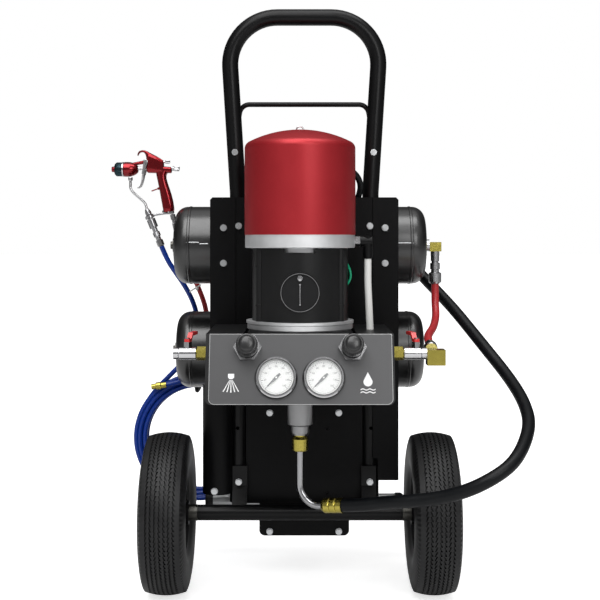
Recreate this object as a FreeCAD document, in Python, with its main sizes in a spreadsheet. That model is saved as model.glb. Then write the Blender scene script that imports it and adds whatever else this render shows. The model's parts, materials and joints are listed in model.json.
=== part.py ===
"""Airless paint sprayer on a two-wheel cart, as a parametric FreeCAD document.

Millimetres. X to the operator's right, Y towards the back, Z up. The drawing's zero is on
the floor, midway between the wheels, straight below the axle. The written parts have
theirs origin_back behind it, below the middle of the object.
"""
import FreeCAD, Part
import math
import os
import re

import Sketcher

V = FreeCAD.Vector

SIZES = {
    "origin_back": 27,
    # wheels and axle
    "wheel_radius": 129, "tyre_width": 74, "tyre_hole": 52, "track_half": 214.2,
    "rim_width": 50, "hub_radius": 19, "hub_half": 34, "axle_radius": 8, "running_gap": 0.05,
    "axle_tube_radius": 12.7, "axle_tube_half": 166,
    # handle loop and rails
    "frame_mid": 7, "tube_radius": 13.5, "tube_wall": 2, "rail_half": 109.5, "rail_foot": 140,
    "rail_y": 32, "kink_height": 650, "flare_half": 127.5, "handle_top": 940, "handle_corner": 78,
    "rack_rod_radius": 4.1, "rack_top": 798, "rack_foot": 742, "rack_half": 105,
    # plates
    "plate_thick": 3, "plate_top": 642, "plate_foot": 335, "wing_half": 154.5, "plate_half": 111.5,
    "wing_foot": 178, "cover_radius": 24.5, "cover_foot": 158, "seam": 1,
    "mount_thick": 5, "mount_y": 27, "mount_top": 345, "mount_neck": 138, "mount_foot": 84.5,
    "mount_neck_half": 74, "bolt_half": 5, "bolt_head": 5,
    # rear rest
    "stand_y": 205, "stand_height": 79.5, "stand_radius": 11, "stand_half": 235,
    "foot_radius": 16, "foot_height": 26, "tie_bar_radius": 10.5, "tie_bar_half": 152,
    "tie_bar_height": 137,
    # air tanks
    "tank_radius": 66.3, "tank_length": 428, "tank_wall": 3, "tank_corner": 22, "port_radius": 9,
    "upper_tank_gap": 3.2, "upper_tank_z": 563, "lower_tank_gap": 43.2, "lower_tank_z": 380,
    "seat_gap": 0.3,
    # air motor and fluid pump
    "pump_y": -90, "flange_radius": 82.8, "flange_foot": 434.8, "flange_thick": 14,
    "shroud_radius": 71, "shroud_wall": 3, "rib_radius": 6.5, "rib_reach": 68, "rib_angle": 58,
    "base_radius": 84.8, "base_foot": 560, "base_thick": 20, "hub_drop": 7, "motor_hub_radius": 23,
    "dome_radius": 85.7, "dome_top": 742.3, "dome_shoulder": 720, "dome_wall": 4,
    "crown_radius": 175, "rim_round": 12, "rod_radius": 9, "piston_thick": 14, "piston_height": 640,
    "rod_foot": 360, "cylinder_radius": 19.7, "cylinder_foot": 287.6, "throat_radius": 14.5,
    "throat_foot": 271, "bracket_thick": 7.5, "bracket_half": 78, "disc_radius": 28.5,
    "disc_height": 494, "disc_screw_height": 515,
    # control panel
    "panel_half": 138.5, "panel_top": 433.8, "panel_top_y": -175, "panel_foot": 333,
    "panel_lean": 16.5, "sheet_metal": 2, "panel_corner": 9, "panel_open_half": 84,
    "regulator_x": 77, "regulator_down": 21.5, "knob_radius": 16, "knob_length": 31,
    "nut_across": 42, "nut_thick": 8, "gauge_x": 34.7, "gauge_down": 65.5, "gauge_radius": 30.2,
    "gauge_depth": 20,
    # siphon line
    "siphon_radius": 6, "siphon_bend": 31, "siphon_height": 161, "siphon_turn": 25,
    "siphon_rise": 0.1, "ferrule_radius": 11.5,
    "ferrule_length": 33.5, "hose_radius": 10, "pickup_x": -31, "pickup_gap": 16.7,
    "pickup_top": 480,
    # ball valves beside the panel
    "valve_y": -120, "valve_z": 399.5, "block_width": 27.5, "valve_radius": 9.5,
    "valve_length": 36, "nipple_length": 18, "inlet_deep": 14,
    # small lines
    "air_tube_radius": 5.5, "signal_radius": 5, "jumper_radius": 6.5, "gun_hose_radius": 4.5,
    # gun hose coil
    "coil_x": -187, "coil_y": 246, "coil_z": 210, "coil_outer": 122, "coil_band": 28,
    "coil_depth": 22,
    # spray gun
    "gun_x": -277.6, "gun_y": 200, "gun_z": 710.6, "gun_thick": 18, "bore_line": -11.5,
    "pin_radius": 2, "trigger_wide": 25, "connector_tilt": 21.8,
}

# Places that follow from the sizes, used in formulas by name like the sizes themselves.
TANK_FRONT = "rail_y + tube_radius + tank_radius"
PLACES = {
    "upper_tank_y": f"({TANK_FRONT} + upper_tank_gap)",
    "lower_tank_y": f"({TANK_FRONT} + lower_tank_gap)",
    "pickup_y": f"({TANK_FRONT} + lower_tank_gap + tank_radius + pickup_gap)",
}

doc = FreeCAD.newDocument("paint_sprayer")
sheet = doc.addObject("Spreadsheet::Sheet", "Sizes")
for row, (alias, value) in enumerate(SIZES.items(), start=1):
    sheet.set(f"A{row}", alias.replace("_", " "))
    sheet.set(f"B{row}", str(value))
    sheet.setAlias(f"B{row}", alias)
doc.recompute()

NODES = []  # the objects that are written, one file each


def bound(formula):
    """The formula with each place written out and each size a reference to its cell."""
    spelled = re.sub(r"[a-z_]+", lambda m: PLACES.get(m[0], m[0]), str(formula))
    return re.sub(r"[a-z_]+", lambda m: f"Sizes.{m[0]}" if m[0] in SIZES else m[0], spelled)


def worth(formula):
    """The formula's value now, from the sheet."""
    if isinstance(formula, (int, float)):
        return float(formula)
    value = sheet.evalExpression(bound(formula))
    return float(getattr(value, "Value", value))


def point(x, y, z):
    """A vector of three formulas."""
    return V(worth(x), worth(y), worth(z))


def place(thing, x=0, y=0, z=0, axis=None, angle=0):
    """Sets where a piece stands and how it is turned; each coordinate follows the sheet."""
    if axis:
        thing.Placement = FreeCAD.Placement(V(), FreeCAD.Rotation(V(*axis), worth(angle)))
    for key, formula in zip("xyz", (x, y, z)):
        thing.setExpression(f"Placement.Base.{key}", bound(formula))
    return thing


def new_body(label):
    piece = doc.addObject("PartDesign::Body", label)
    piece.Label = label
    return piece


def sketch_on(piece, plane, name):
    """An empty sketch on one of the body's own origin planes."""
    sketch = piece.newObject("Sketcher::SketchObject", name)
    face = next(o for o in piece.Origin.OriginFeatures if o.Role == plane)
    sketch.AttachmentSupport = [(face, "")]
    sketch.MapMode = "FlatFace"
    return sketch


def pin_down(sketch, item, end, x, y):
    """Holds one point of a sketch at two formulas from the sketch's origin."""
    for kind, formula in (("DistanceX", x), ("DistanceY", y)):
        held = sketch.addConstraint(Sketcher.Constraint(kind, -1, 1, item, end, worth(formula)))
        sketch.setExpression(f"Constraints[{held}]", bound(formula))


def draw_outline(sketch, corners):
    """A closed outline of straight lines through corners given as formulas."""
    spots = [V(worth(x), worth(y), 0) for x, y in corners]
    first = sketch.GeometryCount
    for index, spot in enumerate(spots):
        sketch.addGeometry(Part.LineSegment(spot, spots[(index + 1) % len(spots)]), False)
    for index in range(len(spots)):
        after = first + (index + 1) % len(spots)
        sketch.addConstraint(Sketcher.Constraint("Coincident", first + index, 2, after, 1))
    for index, (x, y) in enumerate(corners):
        pin_down(sketch, first + index, 1, x, y)


def draw_circle(sketch, x, y, radius):
    centre = V(worth(x), worth(y), 0)
    item = sketch.addGeometry(Part.Circle(centre, V(0, 0, 1), worth(radius)), False)
    pin_down(sketch, item, 3, x, y)
    held = sketch.addConstraint(Sketcher.Constraint("Radius", item, worth(radius)))
    sketch.setExpression(f"Constraints[{held}]", bound(radius))


def turn(piece, profile, name="Profile"):
    """Revolves a profile of (radius, height) corners about the body's Z axis."""
    sketch = sketch_on(piece, "XZ_Plane", name)
    draw_outline(sketch, profile)
    solid = piece.newObject("PartDesign::Revolution", name + "Turn")
    solid.Profile = sketch
    solid.ReferenceAxis = (sketch, ["V_Axis"])
    solid.Angle = 360
    return solid


def turned(label, profile):
    """A body that is one turned piece, its axis along Z."""
    piece = new_body(label)
    turn(piece, profile)
    return piece


def padded(label, plane, corners, depth, holes=(), middle=False, back=False):
    """A body that is one flat outline with round holes, made as deep as the formula says."""
    piece = new_body(label)
    sketch = sketch_on(piece, plane, label + "Outline")
    if corners:
        draw_outline(sketch, corners)
    for x, y, radius in holes:
        draw_circle(sketch, x, y, radius)
    pad = piece.newObject("PartDesign::Pad", label + "Pad")
    pad.Profile = sketch
    pad.setExpression("Length", bound(depth))
    pad.Midplane = middle
    pad.Reversed = back
    return piece


def round_off(piece, radius, wanted):
    """Fillets the edges of the body's tip that the test picks."""
    doc.recompute()
    tip = piece.Tip
    names = [f"Edge{i}" for i, edge in enumerate(tip.Shape.Edges, start=1) if wanted(edge)]
    fillet = piece.newObject("PartDesign::Fillet", piece.Label + "Round")
    fillet.Base = (tip, names)
    fillet.setExpression("Radius", bound(radius))
    return piece


def along(edge, axis):
    """Whether an edge is straight and runs along the axis."""
    if not isinstance(edge.Curve, Part.Line):
        return False
    return abs(abs(edge.tangentAt(edge.FirstParameter).dot(V(*axis))) - 1) < 1e-6


def keep(label, *pieces):
    """One node: a single piece under its own label, or several solids side by side."""
    if len(pieces) == 1:
        node = pieces[0]
        node.Label = label
    else:
        node = doc.addObject("Part::Compound", "Group_" + label)
        node.Label = label
        node.Links = list(pieces)
    NODES.append(node)
    return node


def cylinder(name, radius, height, x=0, y=0, z=0, axis=None, angle=0):
    rod = doc.addObject("Part::Cylinder", name)
    rod.setExpression("Radius", bound(radius))
    rod.setExpression("Height", bound(height))
    return place(rod, x, y, z, axis, angle)


def box(name, length, width, height, x=0, y=0, z=0):
    block = doc.addObject("Part::Box", name)
    for key, formula in (("Length", length), ("Width", width), ("Height", height)):
        block.setExpression(key, bound(formula))
    return place(block, x, y, z)


def hexagon(name, half, height, x=0, y=0, z=0, axis=None, angle=0):
    """A six-sided prism; half is its half width across the corners."""
    nut = doc.addObject("Part::Prism", name)
    nut.Polygon = 6
    nut.setExpression("Circumradius", bound(half))
    nut.setExpression("Height", bound(height))
    return place(nut, x, y, z, axis, angle)


def cut(name, base, tool):
    left = doc.addObject("Part::Cut", name)
    left.Base, left.Tool = base, tool
    return left


def fuse(name, *pieces):
    whole = doc.addObject("Part::MultiFuse", name)
    whole.Shapes = list(pieces)
    return whole


def bend_wire(route, radii=None):
    """Straight runs joined by tangent arcs, and the arcs' radii.

    Without radii each arc takes 0.45 of its shorter run, as a hose lies.
    """
    edges, used, start = [], [], route[0]
    for index in range(1, len(route) - 1):
        before, here, after = route[index - 1:index + 2]
        inward, outward = (before - here).normalize(), (after - here).normalize()
        half_turn = (math.pi - inward.getAngle(outward)) / 2
        if radii is None:
            shorter = min((here - before).Length, (after - here).Length)
            reach = 0.45 * shorter
        else:
            reach = radii[index - 1] * math.tan(half_turn)
        radius = reach / math.tan(half_turn)
        used.append(radius)
        first, last = here + inward * reach, here + outward * reach
        centre_way = (inward + outward).normalize()
        middle = here + centre_way * (radius / math.cos(half_turn) - radius)
        edges += [Part.makeLine(start, first), Part.Arc(first, middle, last).toShape()]
        start = last
    edges.append(Part.makeLine(start, route[-1]))
    return Part.Wire(edges), used


def bent_tube(name, route, radius, radii=None, wall=0):
    """A tube or rod swept along a bent wire; a wall above 0 leaves it hollow."""
    wire, used = bend_wire(route, radii)
    start_way = wire.Edges[0].tangentAt(wire.Edges[0].FirstParameter)
    sections = [Part.Wire(Part.makeCircle(r, route[0], start_way))
                for r in ([radius, radius - wall] if wall else [radius])]
    solids = [wire.makePipeShell([ring], True, False) for ring in sections]
    tube = doc.addObject("Part::Feature", name)
    tube.Shape = solids[0].cut(solids[1]) if wall else solids[0]
    if radii is None:
        swept = math.pi * radius ** 2 * wire.Length
        print(f"{name}: {wire.Length:.0f} mm long, radii {[round(r) for r in used]}, "
              f"volume {tube.Shape.Volume / swept:.3f} of section times length")
    return tube


X_AXIS, Y_AXIS, Z_AXIS = (1, 0, 0), (0, 1, 0), (0, 0, 1)
JUMPER_SEAT = ("panel_half + nipple_length + valve_length + 9", "valve_y + 14.25", "valve_z + 5.5")
JUMPER_TILT = 78  # degrees the hose end leans back from upright
SIDES = (("left", -1), ("right", 1))


def make_frame():
    """Handle loop with its rails, hose rack, plates, axle tube and rear rest."""
    mid, half, y = worth("frame_mid"), worth("rail_half"), worth("rail_y")
    foot, kink, top = worth("rail_foot"), worth("kink_height"), worth("handle_top")
    flare, corner = worth("flare_half"), worth("handle_corner")
    loop = [V(mid - half, y, foot), V(mid - half, y, kink), V(mid - flare, y, top),
            V(mid + flare, y, top), V(mid + half, y, kink), V(mid + half, y, foot)]
    tube = bent_tube("HandleLoop", loop, worth("tube_radius"),
                     [6 * worth("tube_radius"), corner, corner, 6 * worth("tube_radius")],
                     worth("tube_wall"))
    holes = [cylinder(f"RailHole{side}", 3, 8, f"frame_mid + {way} * rail_half",
                      "rail_y - tube_radius + 6", 263, X_AXIS, 90) for side, way in SIDES]
    keep("handle_frame", cut("HandleFrame", tube, fuse("RailHoles", *holes)))

    rod, rack_y = worth("rack_rod_radius"), worth("rail_y + tube_radius + rack_rod_radius")
    rack, rack_top, rack_foot = worth("rack_half"), worth("rack_top"), worth("rack_foot")
    tube_at_foot = half + (flare - half) * (rack_foot - kink) / (top - kink)
    rack_route = [V(mid - tube_at_foot, rack_y, rack_foot), V(mid - rack, rack_y, rack_top),
                  V(mid + rack, rack_y, rack_top), V(mid + tube_at_foot, rack_y, rack_foot)]
    keep("hose_rack_rod", bent_tube("HoseRack", rack_route, rod, [4 * rod, 4 * rod]))

    left, right = "frame_mid - plate_half", "frame_mid + plate_half"
    front = "rail_y - tube_radius"
    centre = padded("back_plate", "XZ_Plane", [(left, "plate_foot"), (right, "plate_foot"),
                                               (right, "plate_top"), (left, "plate_top")],
                    "plate_thick")
    keep("back_plate", place(centre, 0, front, 0))

    wings = []
    for side, way in SIDES:
        inner = f"frame_mid + {way} * (plate_half + seam)"
        outer = f"frame_mid + {way} * wing_half"
        foot_here = "wing_foot" if way > 0 else "plate_foot"
        wing = padded(f"{side}_wing", "XZ_Plane", [
            (f"{inner} + {way} * 8", foot_here), (outer, foot_here), (outer, "plate_top - 4"),
            (f"frame_mid + {way} * (wing_half - 4)", "plate_top"), (inner, "plate_top"),
            (inner, f"{foot_here} + 36"), (f"{inner} + {way} * 8", f"{foot_here} + 36")],
            "plate_thick")
        wings.append(place(wing, 0, front, 0))
    guard = cut("HoseGuard", cylinder("GuardSkin", "cover_radius", "plate_foot - cover_foot"),
                cylinder("GuardInside", "cover_radius - plate_thick",
                         "plate_foot - cover_foot + 2", 0, 0, -1))
    front_half = box("GuardFront", "2 * cover_radius + 2", "cover_radius + 1",
                     "plate_foot - cover_foot", "-cover_radius - 1", "-cover_radius - 1", 0)
    half_guard = doc.addObject("Part::Common", "HalfGuard")
    half_guard.Base, half_guard.Tool = guard, front_half
    place(half_guard, "frame_mid - plate_half - 6 - cover_radius", front, "cover_foot")
    keep("wing_plates", *wings, half_guard)

    neck, wide = "mount_neck_half", "(rail_half - tube_radius)"
    outline = [(f"frame_mid {way} {size}", height) for way, size, height in (
        ("-", neck, "mount_foot"), ("+", neck, "mount_foot"), ("+", neck, "mount_neck"),
        ("+", wide, "mount_neck"), ("+", wide, "mount_top"), ("-", wide, "mount_top"),
        ("-", wide, "mount_neck"), ("-", neck, "mount_neck"))]
    mount = padded("MountForm", "XZ_Plane", outline, "mount_thick")
    place(mount, 0, "mount_y + mount_thick", 0)
    low = worth("mount_foot")
    round_off(mount, 9, lambda e: along(e, Y_AXIS) and abs(e.Vertexes[0].Z - low) < 0.1)
    pockets = [cylinder(f"MountHole{height}", 3.5, 4.5, "frame_mid + 37.5", "mount_y + 3.5",
                        height, X_AXIS, 90) for height in (155, 262)]
    keep("mount_plate", cut("MountPlate", mount, fuse("MountHoles", *pockets)))

    make_axle_tube()
    make_rear_rest()
    make_frame_bolts()


def make_axle_tube():
    """The tube across the cart with a strap up to each rail."""
    tube = cut("AxleTube",
               cylinder("AxleTubeSkin", "axle_tube_radius", "2 * axle_tube_half",
                        "-axle_tube_half", 0, "wheel_radius", Y_AXIS, 90),
               cylinder("AxleTubeBore", "axle_radius + 0.2", "2 * axle_tube_half + 2",
                        "-axle_tube_half - 1", 0, "wheel_radius", Y_AXIS, 90))
    top = "wheel_radius + axle_tube_radius"
    rail_front = "rail_y - tube_radius"
    straps = []
    for side, way in SIDES:
        strap = padded(f"{side}_strap", "YZ_Plane", [
            (f"{rail_front} - 4", f"{top} + 60"), (f"{rail_front} - 4", f"{top} + 28"),
            (-4, f"{top} + 0.3"), (3, f"{top} + 0.3"), (rail_front, f"{top} + 24"),
            (rail_front, f"{top} + 60")], 24, middle=True)
        straps.append(place(strap, f"frame_mid + {way} * (rail_half - 4)", 0, 0))
    keep("axle_tube", tube, *straps)


def make_rear_rest():
    """The tie bar behind the rails, and the rest that the cart leans back on."""
    bar = cylinder("TieBar", "tie_bar_radius", "2 * tie_bar_half", "frame_mid - tie_bar_half",
                   "rail_y + tube_radius + tie_bar_radius + 0.3", "tie_bar_height", Y_AXIS, 90)
    keep("rear_tie_bar", bar)

    y, z = worth("stand_y"), worth("stand_height")
    half, radius = worth("stand_half"), worth("stand_radius")
    foot = worth("foot_height") - 12
    legs = bent_tube("RestTube", [V(-half, y, foot), V(-half, y, z), V(half, y, z),
                                  V(half, y, foot)], radius, [2.2 * radius, 2.2 * radius], 2)
    plate_back = "mount_y + mount_thick"
    arms = []
    for side, way in SIDES:
        arm = padded(f"RestArm{side}", "YZ_Plane", [
            (plate_back, "mount_foot + 5.5"), ("stand_y", "stand_height - 7"),
            ("stand_y", "stand_height + 7"), (plate_back, "mount_foot + 19.5")], 16, middle=True)
        arms.append(place(arm, f"frame_mid + {way} * 50", 0, 0))
    keep("rear_stand", fuse("RearRest", legs, *arms))

    ends = []
    for side, way in SIDES:
        sleeve = turned(f"{side}_foot", [(0, 0), ("foot_radius - 2", 0), ("foot_radius", 2),
                                         ("foot_radius - 2", "foot_height"),
                                         ("stand_radius + 0.1", "foot_height"),
                                         ("stand_radius + 0.1", "foot_height - 12"),
                                         (0, "foot_height - 12")])
        ends.append(place(sleeve, f"{way} * stand_half", "stand_y", 0))
        cap = turned(f"{side}_bar_cap", [(0, 0), ("tie_bar_radius + 1.5", 0),
                                         ("tie_bar_radius + 1.5", 9), ("tie_bar_radius - 1", 13),
                                         (0, 13)])
        ends.append(place(cap, f"frame_mid + {way} * tie_bar_half",
                          "rail_y + tube_radius + tie_bar_radius + 0.3", "tie_bar_height",
                          Y_AXIS, 90 * way))
    keep("rubber_ends", *ends)


def bolt(name, x, y, z):
    """A hex bolt's head on its washer, facing the front, seated on the face at y."""
    washer = cylinder(name + "Washer", "bolt_half + 0.5", 1.2, x, y, z, X_AXIS, 90)
    head = hexagon(name + "Head", "bolt_half", "bolt_head", x, f"{y} - 1.2", z, X_AXIS, 90)
    return fuse(name, washer, head)


def make_frame_bolts():
    """Bolts of the plates to the rails and tank brackets, and two in the handle."""
    plate_face = "rail_y - tube_radius - plate_thick"
    wing_x, rail_x = "(wing_half - 22)", "(rail_half - 2)"
    heads = []
    for side, way in SIDES:
        for row, height in (("Upper", "upper_tank_z + 29"), ("Lower", "upper_tank_z - 29")):
            heads.append(bolt(f"WingBolt{row}{side}", f"frame_mid + {way} * {wing_x}",
                              plate_face, height))
        heads.append(bolt(f"RailBolt{side}", f"frame_mid + {way} * {rail_x}", plate_face,
                          "upper_tank_z + 32"))
        heads.append(bolt(f"StrapBolt{side}", f"frame_mid + {way} * (rail_half - 2)",
                          "rail_y - tube_radius - 4", "wheel_radius + axle_tube_radius + 34"))
        for row, height in (("High", "mount_top - 58"), ("Low", "mount_foot + 7")):
            heads.append(bolt(f"MountBolt{row}{side}", f"frame_mid + {way} * 57",
                              "mount_y", height))
        flare = "rail_half + (flare_half - rail_half) * 0.24"
        heads.append(cylinder(f"HandleBolt{side}", 5.2, 3.4, f"frame_mid + {way} * ({flare})",
                              "rail_y - tube_radius", 716, X_AXIS, 90))
    heads.append(bolt("GuardBolt", "frame_mid - plate_half - cover_radius - 9.7",
                      "rail_y - tube_radius - cover_radius - 0.1", "cover_foot + 7"))
    keep("frame_bolts", *heads)


def make_wheels():
    """Two pneumatic wheels on a fixed axle shaft, and the shaft's nuts."""
    shaft = cylinder("AxleShaft", "axle_radius", "2 * (track_half + hub_half + 12.4)",
                     "-track_half - hub_half - 12.4", 0, "wheel_radius", Y_AXIS, 90)
    fittings = [shaft]
    for side, way in SIDES:
        for name, inner in (("Spacer", "axle_tube_half + 0.2"), ("Nut", "track_half + hub_half")):
            length = ("track_half - hub_half - axle_tube_half - 0.7" if name == "Spacer"
                      else "6")
            skin = hexagon if name == "Nut" else cylinder
            ring = skin(f"{name}{side}", "axle_radius + 5", length, f"{way} * ({inner} + 0.3)", 0,
                        "wheel_radius", Y_AXIS, 90 * way)
            fittings.append(ring)
    keep("axle_shaft", fuse("AxleAssembly", *fittings))

    seat, half, hub = "tyre_hole", "rim_width / 2", "hub_radius"
    bore = "axle_radius + running_gap"
    rim_profile = [(bore, "-hub_half"), (hub, "-hub_half"), (hub, -9), (f"{seat} - 6", -9),
                   (f"{seat} - 5", f"4 - {half}"), (f"{seat} + 5", f"1.5 - {half}"),
                   (f"{seat} + 5", f"-{half}"), (f"{seat} + 8", f"-{half}"),
                   (f"{seat} + 8", f"4 - {half}"), (seat, f"7 - {half}"), (seat, f"{half} - 7"),
                   (f"{seat} + 8", f"{half} - 4"), (f"{seat} + 8", half),
                   (f"{seat} + 5", half), (f"{seat} + 5", f"{half} - 1.5"),
                   (f"{seat} - 5", f"{half} - 4"), (f"{seat} - 6", -4), (hub, -4),
                   (hub, "hub_half"), (bore, "hub_half")]
    tread = "wheel_radius"
    wide = "tyre_width / 2"
    tyre_profile = [(f"{seat} + 0.3", f"7.6 - {half}"), (f"{seat} + 8.3", f"4.2 - {half}"),
                    (f"{seat} + 14", f"-{half} - 4"), (f"{tread} - 46", f"1 - {wide}"),
                    (f"{tread} - 34", f"-{wide}"), (f"{tread} - 20", f"1 - {wide}"),
                    (f"{tread} - 8", f"4 - {wide}")]
    crown = [(-26.4, 4.4, 3.6), (-13.9, 5.7, 1)]
    for x, rib, drop in crown:
        tyre_profile += [(f"{tread} - {drop}", x - rib), (f"{tread} - {drop}", x + rib),
                         (f"{tread} - {drop} - 3", x + rib + 0.4),
                         (f"{tread} - {drop} - 3", x + rib + 2)]
    tyre_profile += [(tread, -5.8), (tread, 5.8)]
    for x, rib, drop in reversed(crown):
        tyre_profile += [(f"{tread} - {drop} - 3", -x - rib - 2),
                         (f"{tread} - {drop} - 3", -x - rib - 0.4),
                         (f"{tread} - {drop}", -x - rib), (f"{tread} - {drop}", -x + rib)]
    tyre_profile += [(f"{tread} - 8", f"{wide} - 4"), (f"{tread} - 20", f"{wide} - 1"),
                     (f"{tread} - 34", wide), (f"{tread} - 46", f"{wide} - 1"),
                     (f"{seat} + 14", f"{half} + 4"), (f"{seat} + 8.3", f"{half} - 4.2"),
                     (f"{seat} + 0.3", f"{half} - 7.6")]
    for side, way in SIDES:
        for label, profile in ((f"rim_{side}", rim_profile), (f"tyre_{side}", tyre_profile)):
            keep(label, place(turned(label, profile), f"{way} * track_half", 0, "wheel_radius",
                              Y_AXIS, 90))


def make_tanks():
    """Two hollow air receivers across the cart, with their ports and saddles."""
    half = "tank_length / 2"
    for level in ("upper", "lower"):
        tank = turned(f"{level}_tank", [
            ("port_radius", f"-{half}"), ("tank_radius", f"-{half}"),
            ("tank_radius", f"24 - {half}"), ("tank_radius + 0.8", f"25 - {half}"),
            ("tank_radius + 0.8", f"28 - {half}"), ("tank_radius", f"29 - {half}"),
            ("tank_radius", f"{half} - 29"), ("tank_radius + 0.8", f"{half} - 28"),
            ("tank_radius + 0.8", f"{half} - 25"), ("tank_radius", f"{half} - 24"),
            ("tank_radius", half), ("port_radius", half),
            ("port_radius", f"{half} - tank_wall"),
            ("tank_radius - tank_wall", f"{half} - tank_wall"),
            ("tank_radius - tank_wall", f"tank_wall - {half}"),
            ("port_radius", f"tank_wall - {half}")])
        place(tank, 0, f"{level}_tank_y", f"{level}_tank_z", Y_AXIS, 90)
        end, inner_end = worth(half), worth(f"{half} - tank_wall")
        wall = worth("tank_wall")
        round_off(tank, "tank_corner", lambda e: is_ring(e, worth("tank_radius"), end))
        round_off(tank, "tank_corner - tank_wall",
                  lambda e: is_ring(e, worth("tank_radius") - wall, inner_end))
        keep(f"{level}_tank", tank)

    saddles = []
    for level in ("upper", "lower"):
        deep = f"{level}_tank_y - rail_y + tube_radius - 46"
        for side, way in SIDES:
            block = box(f"Saddle{level}{side}", 18, deep, 76,
                        f"frame_mid + {way} * (wing_half - 20) - 9", "rail_y - tube_radius",
                        f"{level}_tank_z - 38")
            hollow = cylinder(f"SaddleSeat{level}{side}", "tank_radius + seat_gap",
                              "tank_length", f"-{half}", f"{level}_tank_y", f"{level}_tank_z",
                              Y_AXIS, 90)
            saddles.append(cut(f"TankSaddle{level}{side}", block, hollow))
    hook_x, reach = worth("coil_x"), worth("tank_radius + seat_gap") + 0.9
    start = V(hook_x, worth("lower_tank_y") + 0.65 * reach, worth("lower_tank_z") - 0.76 * reach)
    inside = worth("coil_z + coil_outer - coil_band - 6")
    behind = worth("lower_tank_y + tank_radius")
    hook = bent_tube("CoilHook", [
        start, V(hook_x, behind - 3.3, inside), V(hook_x, behind + 46.7, inside),
        V(hook_x, behind + 52.7, inside + 22)], 4, [14, 10])
    keep("tank_brackets", *saddles, hook)

    steel = []
    for level in ("upper", "lower"):
        steel.append(place(turned(f"{level}_left_plug", [
            (0, -4), ("port_radius - 0.1", -4), ("port_radius - 0.1", 0), (12, 0), (12, 5),
            (6.5, 5), (6.5, 9), (0, 9)]), f"-{half}", f"{level}_tank_y",
            f"{level}_tank_z", Y_AXIS, -90))
    steel.append(place(turned("lower_right_plug", [
        (0, -4), ("port_radius - 0.1", -4), ("port_radius - 0.1", 0), (11, 0), (11, 4), (0, 4)]),
        half, "lower_tank_y", "lower_tank_z", Y_AXIS, 90))
    steel.append(place(turned("outlet_bushing", [
        (0, -4), ("port_radius - 0.1", -4), ("port_radius - 0.1", 0), (10, 0), (10, 9), (0, 9)]),
        half, "upper_tank_y", "upper_tank_z", Y_AXIS, 90))
    steel.append(place(turned("outlet_swivel", [
        (0, -66), (8.5, -66), (11, -63), (11, -48), (7, -46), (7, -42), (8.5, -41), (8.5, -31),
        (6, -30), (6, -28), (7.5, -27), (7.5, -10.6), (0, -10.6)]),
        f"{half} + 19", "upper_tank_y", "upper_tank_z", X_AXIS, 0))
    jumper_end = turned("jumper_end", [(0, 0), (9, 0), (10, 2), (10, 12), (7.5, 14), (7.5, 24),
                                       (0, 24)])
    steel.append(place(jumper_end, *JUMPER_SEAT, axis=X_AXIS, angle=-JUMPER_TILT))
    steel.append(hexagon("MotorHex", 7.5, 8, "base_radius", "pump_y", "base_foot + 10",
                         Y_AXIS, 90))
    steel.append(box("HosePort", 16, 20, 16, -172, "lower_tank_y + tank_radius + 0.1",
                     "lower_tank_z - 2"))
    keep("steel_fittings", *steel)


def is_ring(edge, radius, height):
    """Whether an edge is a circle of that radius at that distance along the tank's axis."""
    return (isinstance(edge.Curve, Part.Circle) and abs(edge.Curve.Radius - radius) < 0.01
            and min(abs(abs(c) - height) for c in edge.Curve.Center) < 0.01)


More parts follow.
